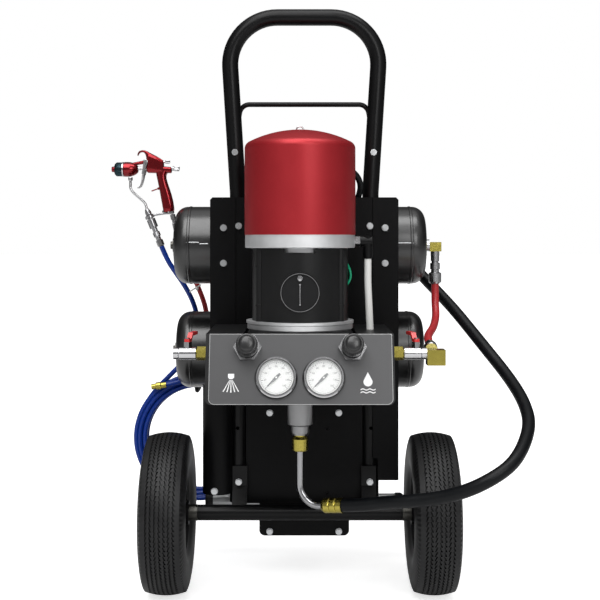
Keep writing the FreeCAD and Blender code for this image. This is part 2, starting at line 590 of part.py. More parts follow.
def make_pump():
    """Air motor above, fluid pump below, on a shelf bracket bolted to the back plate."""
    y = "pump_y"
    shelf_top = "flange_foot"
    front = "(panel_top_y + 6.3 - pump_y)"
    back = "(rail_y - tube_radius - plate_thick - pump_y)"
    shelf = padded("PumpShelf", "YZ_Plane", [
        (front, f"{shelf_top} - bracket_thick"), (f"{back} - 5", f"{shelf_top} - bracket_thick"),
        (f"{back} - 5", f"{shelf_top} - 84"), (back, f"{shelf_top} - 84"), (back, shelf_top),
        (front, shelf_top)], "2 * bracket_half", middle=True)
    place(shelf, 0, y, 0)
    hole = cylinder("BracketHole", "cylinder_radius + 1", 40, 0, y, f"{shelf_top} - 30")
    keep("pump_bracket", cut("PumpBracket", shelf, hole))

    rod_hole = "rod_radius + running_gap"
    flange = turned("lower_flange", [
        (rod_hole, shelf_top), ("flange_radius - 3", shelf_top),
        ("flange_radius - 1.5", f"{shelf_top} + 2"), ("flange_radius - 1.5", f"{shelf_top} + 9"),
        ("flange_radius", f"{shelf_top} + 10"), ("flange_radius", f"{shelf_top} + flange_thick"),
        (rod_hole, f"{shelf_top} + flange_thick")])
    keep("lower_flange", place(flange, 0, y, 0))

    make_shroud()

    base = turned("motor_base", [
        (rod_hole, "base_foot - hub_drop"), ("shroud_radius - 6.4", "base_foot - hub_drop"),
        ("shroud_radius - 6.4", "base_foot"), ("base_radius - 1", "base_foot"),
        ("base_radius", "base_foot + 1"), ("base_radius", "base_foot + base_thick"),
        (rod_hole, "base_foot + base_thick")])
    keep("motor_base", place(base, 0, y, 0))

    top = "(base_foot + base_thick)"
    barrel = cylinder("CoverBarrel", "dome_radius", f"dome_top - {top} + 5", 0, y, top)
    ball = doc.addObject("Part::Sphere", "CoverCrown")
    ball.setExpression("Radius", bound("crown_radius"))
    place(ball, 0, y, "dome_top - crown_radius")
    crown = doc.addObject("Part::Common", "CoverForm")
    crown.Base, crown.Tool = barrel, ball
    chamber = cylinder("CoverChamber", "dome_radius - dome_wall - 1.5",
                       f"dome_shoulder - 6 - {top} + 1", 0, y, f"{top} - 1")
    hollow = cut("CoverHollow", crown, chamber)
    doc.recompute()
    rim = [i for i, e in enumerate(hollow.Shape.Edges, start=1)
           if not e.Degenerated and isinstance(e.Curve, Part.Circle)
           and e.Curve.Center.z > worth("dome_shoulder") - 8
           and abs(e.Curve.Radius - worth("dome_radius")) < 0.1]
    rounded = doc.addObject("Part::Fillet", "MotorCover")
    rounded.Base = hollow
    rounded.Edges = [(i, worth("rim_round"), worth("rim_round")) for i in rim]
    keep("motor_cover", rounded)

    ring = doc.addObject("Part::Torus", "EyeRing")
    ring.Radius1, ring.Radius2, ring.Angle3 = 5.4, 1.1, 180
    place(ring, 0, y, "dome_top + 0.05", X_AXIS, 90)
    keep("lifting_eye", ring)

    throat = turned("pump_cylinder", [
        (0, "throat_foot"), ("throat_radius - 1.5", "throat_foot"),
        ("throat_radius", "throat_foot + 3"), ("throat_radius", "cylinder_foot - 3"),
        ("cylinder_radius", "cylinder_foot"), ("cylinder_radius", shelf_top), (rod_hole, shelf_top),
        (rod_hole, f"{shelf_top} - 14"), (13, f"{shelf_top} - 18"), (13, "cylinder_foot + 6"),
        (0, "cylinder_foot + 6")])
    keep("pump_cylinder", place(throat, 0, y, 0))

    piston = "dome_radius - dome_wall - 1.9"
    rod = turned("piston_rod", [
        (0, "rod_foot"), ("rod_radius", "rod_foot"), ("rod_radius", "base_foot - 60"),
        (16, "base_foot - 58"), (16, "base_foot - 38"), ("rod_radius", "base_foot - 36"),
        ("rod_radius", "piston_height"), (piston, "piston_height"),
        (piston, "piston_height + piston_thick"), (0, "piston_height + piston_thick")])
    keep("piston_rod", place(rod, 0, y, 0))


def make_shroud():
    """The black skirt between the flange and the base, its inspection disc and tie rods."""
    y, foot = "pump_y", "(flange_foot + flange_thick)"
    height = f"base_foot - {foot}"
    outer = cylinder("SkirtSkin", "shroud_radius + shroud_wall", height, 0, y, foot)
    inner = cylinder("SkirtInside", "shroud_radius", f"{height} + 2", 0, y, f"{foot} - 1")
    pieces, bores, rods = [cut("Skirt", outer, inner)], [], []
    for index, turn_by in enumerate((-1, 1, -1, 1)):
        front = -1 if index < 2 else 1
        x = f"{turn_by} * (rib_reach + 3.5) * sin(rib_angle * 1deg)"
        rib_y = f"pump_y + {front} * (rib_reach + 3.5) * cos(rib_angle * 1deg)"
        pieces.append(cylinder(f"Rib{index}", "rib_radius", height, x, rib_y, foot))
        for row, level in (("Low", 23), ("High", 82)):
            pieces.append(cylinder(f"RibBand{row}{index}", "rib_radius + 0.9", 3, x, rib_y,
                                   f"{foot} + {level}"))
        bores.append(cylinder(f"RibBore{index}", 4.6, f"{height} + 2", x, rib_y, f"{foot} - 1"))
        rods.append(cylinder(f"TieRod{index}", 4.5, height, x, rib_y, foot))
    face_y = "pump_y - shroud_radius - shroud_wall - 1.5"
    pieces.append(cylinder("WindowBoss", "disc_radius + 2.2", 14, 0, f"{face_y} + 14",
                           "disc_height", X_AXIS, 90))
    bores.append(cylinder("Window", "disc_radius - 5", 40, 0, f"{face_y} + 39", "disc_height",
                          X_AXIS, 90))
    bores.append(cylinder("WindowClear", "shroud_radius - 6", height, 0, y, foot))
    bores.append(box("HubNotch", "2 * motor_hub_radius", 60, "hub_drop + 1",
                     "-motor_hub_radius", "pump_y - shroud_radius - 20", "base_foot - hub_drop"))
    form = fuse("ShroudForm", *pieces)
    keep("shroud", cut("Shroud", form, fuse("ShroudCuts", *bores)))
    keep("tie_rods", *rods)

    disc = padded("DiscPlate", "XZ_Plane", [], 2, [
        (0, "disc_height", "disc_radius"), (0, "disc_screw_height", 2.05)])
    place(disc, 0, f"{face_y} - 0.2", 0)
    slit = box("DiscSlit", 1.6, 1, 33, -0.8, f"{face_y} - 2.4", "disc_screw_height - 38")
    keep("inspection_disc", cut("InspectionDisc", disc, slit))


def on_panel(thing, x, down, out=0):
    """Stands a turned piece on the panel's sloping face, its axis square to the face."""
    lean = "panel_lean * 1deg"
    return place(thing, x,
                 f"panel_top_y - ({down}) * sin({lean}) - ({out}) * cos({lean})",
                 f"panel_top - ({down}) * cos({lean}) + ({out}) * sin({lean})",
                 X_AXIS, "90 - panel_lean")


def make_panel():
    """Sheet-metal control panel with two regulators and two gauges."""
    drop = "(panel_top - panel_foot)"
    foot_y = f"panel_top_y - {drop} * tan(panel_lean * 1deg)"
    rear = "rail_y - tube_radius - plate_thick"
    metal = "sheet_metal"
    outside = padded("PanelOutside", "YZ_Plane", [
        (foot_y, "panel_foot"), (rear, "panel_foot + 38"), (rear, "panel_top"),
        ("panel_top_y", "panel_top")], "2 * panel_half", middle=True)
    low_front = worth(foot_y)
    round_off(outside, "panel_corner", lambda e: abs(e.Vertexes[0].Z - e.Vertexes[1].Z) > 1
              and abs(e.Vertexes[0].X - e.Vertexes[1].X) < 0.1
              and min(v.Y for v in e.Vertexes) < low_front + 1
              and max(v.Y for v in e.Vertexes) > 0)
    lean_gap = f"{metal} / cos(panel_lean * 1deg)"
    inside = padded("PanelInside", "YZ_Plane", [
        (f"{foot_y} + {lean_gap} - 12 * tan(panel_lean * 1deg)", "panel_foot - 12"),
        (f"{rear} + 5", "panel_foot - 12"), (f"{rear} + 5", f"panel_top - {metal}"),
        (f"panel_top_y + {lean_gap} - {metal} * tan(panel_lean * 1deg)",
         f"panel_top - {metal}")], f"2 * (panel_half - {metal})", middle=True)
    shell = cut("PanelShell", outside, inside)
    opening = box("PanelOpening", "2 * panel_open_half", f"{rear} - panel_top_y", 20,
                  "-panel_open_half", "panel_top_y + 6", "panel_top - 10")
    tools = [opening, cylinder("AirTubeHole", "air_tube_radius + 0.6", 20, 109, "pump_y",
                               "panel_top - 10")]
    for side, way in SIDES:
        hole = cylinder(f"GaugeHole{side}", "gauge_radius - 3.2", 20)
        tools.append(on_panel(hole, f"{way} * gauge_x", "gauge_down", -10))
        neck = cylinder(f"RegulatorHole{side}", 10.3, 20)
        tools.append(on_panel(neck, f"{way} * regulator_x", "regulator_down", -10))
    keep("panel_box", cut("PanelBox", shell, fuse("PanelCuts", *tools)))

    bodies, cases, dials, lenses = [], [], [], []
    for side, way in SIDES:
        x = f"{way} * regulator_x"
        body = turned(f"{side}_regulator", [
            (0, -62), (14, -62), (14, "-sheet_metal - 0.2"), (10, "-sheet_metal - 0.2"), (10, 0.1),
            (13, 0.1), (13, "nut_thick + 4"), (8, "nut_thick + 4"), (8, "nut_thick + 16"),
            (0, "nut_thick + 16")])
        bodies.append(on_panel(body, x, "regulator_down"))
        nut = cut(f"RegulatorNut{side}", hexagon(f"RegulatorHex{side}", "nut_across / 2",
                                                 "nut_thick - 0.2"),
                  cylinder(f"RegulatorBore{side}", 13.05, "nut_thick"))
        bodies.append(on_panel(nut, x, "regulator_down", 0.1))
        knob = turned(f"knob_{side}", [
            (8.06, "nut_thick + 4.2"), ("knob_radius - 2.5", "nut_thick + 4.2"),
            ("knob_radius - 1", "nut_thick + 6"), ("knob_radius", "nut_thick + 7"),
            ("knob_radius", "nut_thick + knob_length - 5"),
            ("knob_radius - 3", "nut_thick + knob_length"), ("knob_radius - 5", "nut_thick + knob_length"),
            ("knob_radius - 6", "nut_thick + knob_length + 2"), (0, "nut_thick + knob_length + 3"),
            (0, "nut_thick + 16.3"), (8.06, "nut_thick + 16.3")])
        keep(f"knob_{side}", on_panel(knob, x, "regulator_down"))

        gauge_at = f"{way} * gauge_x"
        case = turned(f"{side}_gauge_case", [
            (0, "-gauge_depth"), ("gauge_radius - 3.5", "-gauge_depth"), ("gauge_radius - 3.5", 0.1),
            ("gauge_radius", 0.1), ("gauge_radius", 7), ("gauge_radius - 1.5", 9),
            ("gauge_radius - 3.5", 9), ("gauge_radius - 3.5", 5.5), ("gauge_radius - 5", 5.5),
            ("gauge_radius - 5", 1), (0, 1)])
        cases.append(on_panel(case, gauge_at, "gauge_down"))
        dial = turned(f"{side}_dial", [(0, 1.1), ("gauge_radius - 5.3", 1.1),
                                       ("gauge_radius - 5.3", 2), (1.25, 2), (1.25, 4.4), (0, 4.4)])
        dials.append(on_panel(dial, gauge_at, "gauge_down"))
        lens = turned(f"{side}_lens", [(0, 5.7), ("gauge_radius - 3.8", 5.7),
                                       ("gauge_radius - 3.8", 7.4), (0, 7.4)])
        lenses.append(on_panel(lens, gauge_at, "gauge_down"))
        needle = padded(f"needle_{side}", "XY_Plane", [
            (6.72, 4.6), (4.6, 6.72), (-1.7, 1.7), (-13.72, -13.15), (-13.15, -13.72),
            (1.7, -1.7)], 0.6, [(0, 0, 1.3)])
        keep(f"needle_{side}", on_panel(needle, gauge_at, "gauge_down", 2.8))
    keep("regulator_bodies", *bodies)
    keep("gauge_cases", *cases)
    keep("gauge_dials", *dials)
    keep("gauge_lenses", *lenses)


def make_valves():
    """A ball valve at each side of the panel, and the brass fittings of the air line."""
    brass = []
    start = "(panel_half + nipple_length)"
    for side, way in SIDES:
        stem_at = f"{way} * ({start} + {20 if way > 0 else 14})"
        brass.append(hexagon(f"Nipple{side}", 10.5, "nipple_length - 0.2",
                             f"{way} * (panel_half + 0.1)", "valve_y", "valve_z", Y_AXIS,
                             90 * way))
        profile = [(0, 0), (7.5, 0), ("valve_radius", 2), ("valve_radius", "valve_length - 9"),
                   (8, "valve_length - 8"), (9, "valve_length - 7"), (9, "valve_length")]
        profile += [(0, "valve_length")] if way > 0 else [
            (6.5, "valve_length"), (6.5, "valve_length - inlet_deep"),
            (0, "valve_length - inlet_deep")]
        barrel = place(turned(f"{side}_valve_barrel", profile), f"{way} * {start}", "valve_y",
                       "valve_z", Y_AXIS, 90 * way)
        stem = cylinder(f"Stem{side}", 6, "valve_radius + 8", stem_at, "valve_y", "valve_z")
        tip = cylinder(f"StemTip{side}", 3, "valve_radius + 14.5", stem_at, "valve_y", "valve_z")
        keep(f"valve_body_{side}", fuse(f"ValveBody{side}", barrel, stem, tip))

        plate = padded(f"LeverPlate{side}", "YZ_Plane", [
            (-6, 0), (8, 0), (17, 8), (44, 8), (44, 13), (15, 13), (6.5, 4.5), (-6, 4.5)],
            7.5, middle=True)
        eye = cylinder(f"LeverEye{side}", 3.06, 20, 0, 0, -5)
        lever = cut(f"Lever{side}", plate, eye)
        keep(f"lever_{side}", place(lever, stem_at, "valve_y", "valve_z + valve_radius + 8.2",
                                    Z_AXIS, 10 * way))
    brass.append(box("BlockElbow", "block_width", 28, 23.5,
                     f"{start} + valve_length + 0.1", "valve_y - 14", "valve_z - 17.3"))
    brass.append(box("OutletElbow", 20, 17, 16, "tank_length / 2 + 9.1",
                     "upper_tank_y - 8.5", "upper_tank_z - 10.5"))
    keep("brass_fittings", *brass, hose_end_fitting())


def hose_end_fitting():
    """The brass coupling on the end of the gun hose, at the top of the coil."""
    coupling = turned("hose_end", [(0, 0), (5.6, 0), (5.6, 9), (7, 10), (7, 18), (5, 19), (5, 27),
                                   (0, 27)])
    return place(coupling, *COIL_END, axis=Y_AXIS, angle=-98)


COIL_END = (-244, "coil_y - 18.4", "coil_z + coil_outer - 24")


def make_siphon():
    """The pump's inlet: nut, bent suction tube, hose, and the pickup tube on its far end."""
    y = "pump_y"
    nut_top = "throat_foot - 2.5"
    nut = turned("InletNutForm", [("siphon_radius + 0.1", "throat_foot - 25"),
                                  (11, "throat_foot - 25"), (12.7, "throat_foot - 23"),
                                  (12.7, f"{nut_top} - 4"), (10.5, nut_top), (9, nut_top),
                                  (9, "throat_foot - 0.1"), ("siphon_radius + 0.1", "throat_foot - 0.1")])
    ferrule = turned("HoseFerrule", [
        (0, 0), ("ferrule_radius - 3", 0), ("ferrule_radius - 1", 3), ("ferrule_radius", 5),
        ("ferrule_radius", 12), ("ferrule_radius - 1.2", 13.5), ("ferrule_radius", 15),
        ("ferrule_radius", 22), ("ferrule_radius - 1.2", 23.5), ("ferrule_radius", 25),
        ("ferrule_radius", "ferrule_length"), (0, "ferrule_length")])
    tube_end = worth("siphon_bend + 7.5")
    pump_y, low, bend = worth(y), worth("siphon_height"), worth("siphon_bend")
    turn_by = math.radians(worth("siphon_turn"))
    leg = V(math.cos(turn_by), -math.sin(turn_by), worth("siphon_rise")).normalize()
    corner = V(0, pump_y, low)
    ferrule.Placement = FreeCAD.Placement(corner + leg * tube_end,
                                          FreeCAD.Rotation(V(0, 0, 1), leg))
    keep("siphon_fittings", place(nut, 0, y, 0), ferrule)
    keep("siphon_tube", bent_tube("SiphonTube", [
        V(0, pump_y, worth("throat_foot - 1")), corner, corner + leg * tube_end],
        worth("siphon_radius"), [bend]))

    route = [corner + leg * (tube_end + worth("ferrule_length") + 0.1)]
    route += [V(*spot) for spot in SIPHON_ROUTE]
    route.append(point("pickup_x", "pickup_y", "pickup_top"))
    keep("siphon_hose", bent_tube("SiphonHose", route, worth("hose_radius")))

    pickup = turned("siphon_pickup", [
        (0, -350), (14, -350), (16, -348), (16, -292), (14, -290), (8, -290), (8, -282),
        ("siphon_radius", -281), ("siphon_radius", -34), ("ferrule_radius - 1", -33),
        ("ferrule_radius", -30), ("ferrule_radius", 0), (0, 0)])
    keep("siphon_pickup", place(pickup, "pickup_x", "pickup_y", "pickup_top"))


# The suction hose: out of the ferrule, forward round the right wheel, and back behind the
# upper tank to the pickup tube. Chosen points, X, Y, Z.
SIPHON_ROUTE = [
    (92, -132.9, 171.2), (122, -146, 178), (148, -161, 183), (195, -182, 191), (237, -203, 206),
    (273, -213, 225), (307, -203, 245), (331, -170, 267), (350, -120, 292), (352, -73, 314),
    (346, -27, 335), (333, 17, 359), (312, 56, 389), (292, 95, 418), (270, 134, 449),
    (246, 170, 478), (218, 198, 509), (188, 213, 545), (155, 219, 578), (118, 222, 600),
    (75, 225, 608), (33, 228, 602), (-2, 232, 580), (-24, 236, 550), (-31, 238, 514)]

# The short hose from the upper tank's outlet down and forward to the right ball valve.
JUMPER_ROUTE = [(233, 115, 466), (233, 100, 444), (227, 70, 431), (219, 32, 425),
                (209, -10, 421)]

# The gun's fluid hose, from its connector down behind the tanks to the coil.
GUN_ROUTE = [(-240, 200.5, 538), (-226, 203, 516), (-211, 208, 494), (-198, 215, 470),
             (-189, 225, 443), (-186, 236, 414), (-192, 245, 385), (-207, 249, 356)]

# The gun's air hose, behind the tanks to the port on the lower one.
AIR_ROUTE = [(-216.6, 200.5, 561.5), (-204, 204, 532), (-191, 210, 502), (-179, 219, 473),
             (-170, 228, 442)]


def make_lines():
    """Small air lines and hoses."""
    elbow = fuse("AirElbow", cylinder("ElbowAcross", 8.5, 18, "base_radius + 8.1", "pump_y",
                                      "base_foot + 10", Y_AXIS, 90),
                 cylinder("ElbowDown", 7.6, 32, 105, "pump_y", "base_foot - 14"),
                 cylinder("ElbowCollar", 6.6, 4, 105, "pump_y", "base_foot - 17"))
    keep("air_elbow", elbow)
    y = worth("pump_y")
    keep("air_tube", bent_tube("AirTube", [V(105, y, worth("base_foot - 17.1")),
                                           V(105, y, 505), V(109, y, worth("panel_top - 12"))],
                               worth("air_tube_radius"), [400]))
    keep("signal_hose", bent_tube("SignalHose", [
        V(60, -27.5, 690), V(77, -12, 688), V(93, 0, 677), V(100, 11, 661), V(97, 23, 645),
        V(89, 32, 626), V(83, 37, 604), V(80, 42, 582)], worth("signal_radius")))

    up, bent = worth("upper_tank_z - 66"), math.radians(JUMPER_TILT)
    seat = point(*JUMPER_SEAT)
    lean = V(0, math.sin(bent), math.cos(bent))
    end, straight = seat + lean * 24.1, seat + lean * 56
    top = V(worth("tank_length / 2 + 19"), worth("upper_tank_y"), up - 0.1)
    keep("jumper_hose", bent_tube("JumperHose", [top, *[V(*p) for p in JUMPER_ROUTE], straight,
                                                end], worth("jumper_radius")))


def make_gun():
    """The spray gun with its trigger, knobs, fluid tube and connectors."""
    at = ("gun_x", "gun_y + gun_thick / 2", "gun_z")
    outline = [(-14, 4.5), (0, 5.5), (3, 10), (-4, 16), (-10, 18), (-14, 14), (-16.5, 18),
               (-11.5, 22.3), (-3, 23), (8, 20), (22, 11), (32, 6.5), (32, -2.5), (47, -4),
               (47, -16), (42, -18.5), (45.5, -40), (50, -62), (53, -88), (31, -88), (27, -62),
               (24, -51), (11, -51), (10.5, -46), (22.5, -46.5), (20, -30), (17.5, -18.5),
               (0, -19), (-14, -18)]
    grip = padded("GunGrip", "XZ_Plane", outline, "gun_thick")
    place(grip, *at)
    round_off(grip, 2.2, lambda e: not along(e, Y_AXIS)
              and min(v.Z for v in e.Vertexes) < -17 and e.Length > 12)
    head = turned("GunHead", [(0, 0), (10, 0), (13, 3), (14, 8), (12, 14), (14, 20), (14, 25),
                              (0, 25)])
    place(head, "gun_x - 14", "gun_y", "gun_z + bore_line", Y_AXIS, -90)
    pin = cylinder("TriggerPin", "pin_radius", 29, "gun_x", "gun_y - 14.5", "gun_z", X_AXIS, -90)
    keep("gun_body", fuse("GunBody", grip, head, pin))

    cap = turned("gun_air_cap", [(0, 0.1), (13.5, 0.1), (13.5, 9), (12, 13), (7, 14.1), (5, 14.1),
                                 (5, 21), (2, 22.5), (0, 22.5)])
    keep("gun_air_cap", place(cap, "gun_x - 39", "gun_y", "gun_z + bore_line", Y_AXIS, -90))

    lever = padded("TriggerPlate", "XZ_Plane", [
        (-4, 6), (4, 6), (5, -8), (1, -24), (-6, -38), (-13, -46), (-15, -44), (-9, -36),
        (-4, -22), (-5, -6)], "trigger_wide", [(0, 0, "pin_radius + running_gap")])
    place(lever, 0, "trigger_wide / 2", 0)
    fork = box("TriggerFork", 30, "gun_thick + 1", 40, -15, "-gun_thick / 2 - 0.5", -23)
    trigger = cut("Trigger", lever, fork)
    keep("gun_trigger", place(trigger, "gun_x", "gun_y", "gun_z"))

    small = turned("gun_air_knob", [(0, 0.2), (3.2, 0.2), (3.2, 11), (2, 12), (0, 12)])
    keep("gun_air_knob", place(small, "gun_x + 32", "gun_y", "gun_z + 2", Y_AXIS, 90))
    large = turned("gun_fluid_knob", [(0, 0.2), (4, 0.2), (4, 4), (4.8, 5), (4.8, 13), (0, 14)])
    keep("gun_fluid_knob", place(large, "gun_x + 47", "gun_y", "gun_z - 10", Y_AXIS, 90))

    x, y, z = worth("gun_x"), worth("gun_y"), worth("gun_z")
    pipe = bent_tube("GunPipe", [V(x - 27.5, y, z - 25.8), V(x - 27.5, y, z - 48),
                                 V(x - 3, y, z - 70), V(x + 4, y, z - 88)], 2.3, [14, 14])
    collar = cylinder("GunInlet", 3.6, 6, "gun_x - 27.5", "gun_y", "gun_z - 31.7")
    coupling = turned("GunConnector", [
        (0, 0), (6, 0), (6, 12), (4.5, 13), (4.5, 18), (6.5, 19), (6.5, 27), (5, 28), (5, 34),
        (8, 36), (8, 52), (6.5, 54), (6.5, 60), (5.5, 61), (5.5, 66), (3.5, 72), (0, 72)])
    place(coupling, "gun_x + 28.3", "gun_y", "gun_z - 149.4", Y_AXIS, "-connector_tilt")
    strap = padded("GunStrap", "XZ_Plane", [(6, -96), (50, -92), (52, -88.2), (31, -88.2),
                                            (20, -91.5), (6, -93)], 8)
    place(strap, "gun_x", "gun_y + 4", "gun_z")
    tail = turned("GunAirConnector", [(0, 0), (4.2, 0), (4.2, 12), (3.4, 13), (3.4, 18),
                                      (4.6, 19), (4.6, 28), (0, 28)])
    place(tail, "gun_x + 54.3", "gun_y", "gun_z - 119.8", Y_AXIS, -13)
    keep("gun_fluid_tube", fuse("GunPlumbing", pipe, collar, coupling, strap, tail))

    hose = worth("gun_hose_radius")
    tilt = math.radians(worth("connector_tilt"))
    start = V(x + 28.3, y, z - 149.4) + V(math.sin(tilt), 0, -math.cos(tilt)) * 0.1
    mouth = V(-234, 248, 327.3)
    keep("gun_hose", bent_tube("GunHose", [start, *[V(*p) for p in GUN_ROUTE], mouth], hose))
    keep("gun_air_hose", bent_tube("GunAirHose", [
        V(x + 54.3, y, z - 119.9), *[V(*p) for p in AIR_ROUTE],
        V(-165, 231.5, worth("lower_tank_z + 14.6"))], hose))

    band, deep = "coil_band", "coil_depth"
    inner = "coil_outer - coil_band"
    coil = turned("gun_hose_coil", [
        (f"{inner} + 5", f"-{deep} / 2"), (f"{inner} + {band} - 5", f"-{deep} / 2"),
        ("coil_outer", f"5 - {deep} / 2"), ("coil_outer", f"{deep} / 2 - 5"),
        (f"{inner} + {band} - 5", f"{deep} / 2"), (f"{inner} + 5", f"{deep} / 2"),
        (inner, f"{deep} / 2 - 5"), (inner, f"5 - {deep} / 2")])
    keep("gun_hose_coil", place(coil, "coil_x", "coil_y", "coil_z", X_AXIS, 90))


def write_parts():
    """Checks the whole document and writes each node's solids."""
    doc.recompute()
    failed = [o.Name for o in doc.Objects if {"Invalid", "Error"} & set(o.State)]
    for node in NODES:
        shape = node.Shape
        if shape.isNull() or not shape.isValid() or not shape.Solids:
            failed.append(node.Label)
    if failed:
        raise RuntimeError(f"these objects failed: {sorted(set(failed))}")
    os.makedirs("parts", exist_ok=True)
    forward = V(0, -worth("origin_back"), 0)
    for node in NODES:
        shape = node.Shape.copy()
        shape.translate(forward)
        shape.exportStep(f"parts/{node.Label}.step")
    print(f"{len(NODES)} nodes, {sum(len(n.Shape.Solids) for n in NODES)} solids")


make_frame()
make_wheels()
make_tanks()
make_pump()
make_panel()
make_valves()
make_siphon()
make_lines()
make_gun()
write_parts()
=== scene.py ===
"""Looks of the airless paint sprayer: its finishes, hoses, tyres, dials, studio and camera.

Metres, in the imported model's own frame: X to the operator's right, Y back, Z up.
"""
from __future__ import annotations

import json
import logging
import math
from dataclasses import dataclass
from enum import Enum
from typing import Callable, Iterable, Sequence

import bmesh
import bpy
from mathutils import Matrix, Vector

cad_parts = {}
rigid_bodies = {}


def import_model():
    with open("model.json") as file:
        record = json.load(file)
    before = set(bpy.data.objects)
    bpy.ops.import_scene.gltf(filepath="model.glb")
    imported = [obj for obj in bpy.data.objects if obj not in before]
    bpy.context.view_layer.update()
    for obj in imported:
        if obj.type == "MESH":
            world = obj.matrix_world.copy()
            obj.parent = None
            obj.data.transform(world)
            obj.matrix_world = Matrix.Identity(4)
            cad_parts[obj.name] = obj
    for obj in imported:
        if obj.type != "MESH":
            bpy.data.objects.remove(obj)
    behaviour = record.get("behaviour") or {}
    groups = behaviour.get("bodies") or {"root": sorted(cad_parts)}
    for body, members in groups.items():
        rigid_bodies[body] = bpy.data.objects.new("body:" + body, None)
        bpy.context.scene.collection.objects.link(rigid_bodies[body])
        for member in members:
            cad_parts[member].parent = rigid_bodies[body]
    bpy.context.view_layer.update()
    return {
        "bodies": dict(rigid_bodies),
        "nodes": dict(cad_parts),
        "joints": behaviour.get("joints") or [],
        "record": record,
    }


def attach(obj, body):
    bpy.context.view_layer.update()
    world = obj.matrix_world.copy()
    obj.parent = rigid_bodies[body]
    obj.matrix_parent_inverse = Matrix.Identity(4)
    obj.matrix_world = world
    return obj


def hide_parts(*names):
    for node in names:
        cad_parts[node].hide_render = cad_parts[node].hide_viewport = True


LOG = logging.getLogger("sprayer")
Colour = tuple[float, float, float]
Point = tuple[float, float, float]
Corner = tuple[float, float]
Profile = Sequence[Corner]
AXLE_Y = -0.027
"""Where the axle stands in the frame; sizes taken from it are measured back from here."""


def at(x: float, back: float, z: float) -> Vector:
    """A place given in millimetres from the axle's plumb line, as metres in the frame."""
    return Vector((x / 1000, back / 1000 + AXLE_Y, z / 1000))


def route(*spots: Point) -> list[Vector]:
    """A line's points, each given as at takes it."""
    return [at(*spot) for spot in spots]


# ---------------------------------------------------------------- shader maths


class Signal:
    """A shader socket that takes part in Python arithmetic; each step adds a Math node."""

    def __init__(self, shader: Shader, socket: bpy.types.NodeSocket) -> None:
        """Wraps a socket.

        Args:
            shader: The material whose node tree holds the socket.
            socket: The output that carries the value.
        """
        self.shader = shader
        self.socket = socket

    def _math(self, operation: str, first: Signal | float, second: Signal | float) -> Signal:
        """Adds one Math node.

        Args:
            operation: The node's operation.
            first: Its first value.
            second: Its second value.

        Returns:
            The result.
        """
        return self.shader.node("ShaderNodeMath", {"operation": operation}, {0: first, 1: second})

    def __add__(self, other: Signal | float) -> Signal:
        """self + other."""
        return self._math("ADD", self, other)

    __radd__ = __add__

    def __mul__(self, other: Signal | float) -> Signal:
        """self * other."""
        return self._math("MULTIPLY", self, other)

    __rmul__ = __mul__

    def __sub__(self, other: Signal | float) -> Signal:
        """self - other."""
        return self._math("SUBTRACT", self, other)

    def __rsub__(self, other: float) -> Signal:
        """other - self."""
        return self._math("SUBTRACT", other, self)

    def __truediv__(self, other: Signal | float) -> Signal:
        """self / other."""
        return self._math("DIVIDE", self, other)

    def __pow__(self, other: float) -> Signal:
        """self to the power other."""
        return self._math("POWER", self, other)

    def held(self) -> Signal:
        """self, held between 0 and 1."""
        return self._math("MINIMUM", self._math("MAXIMUM", self, 0.0), 1.0)


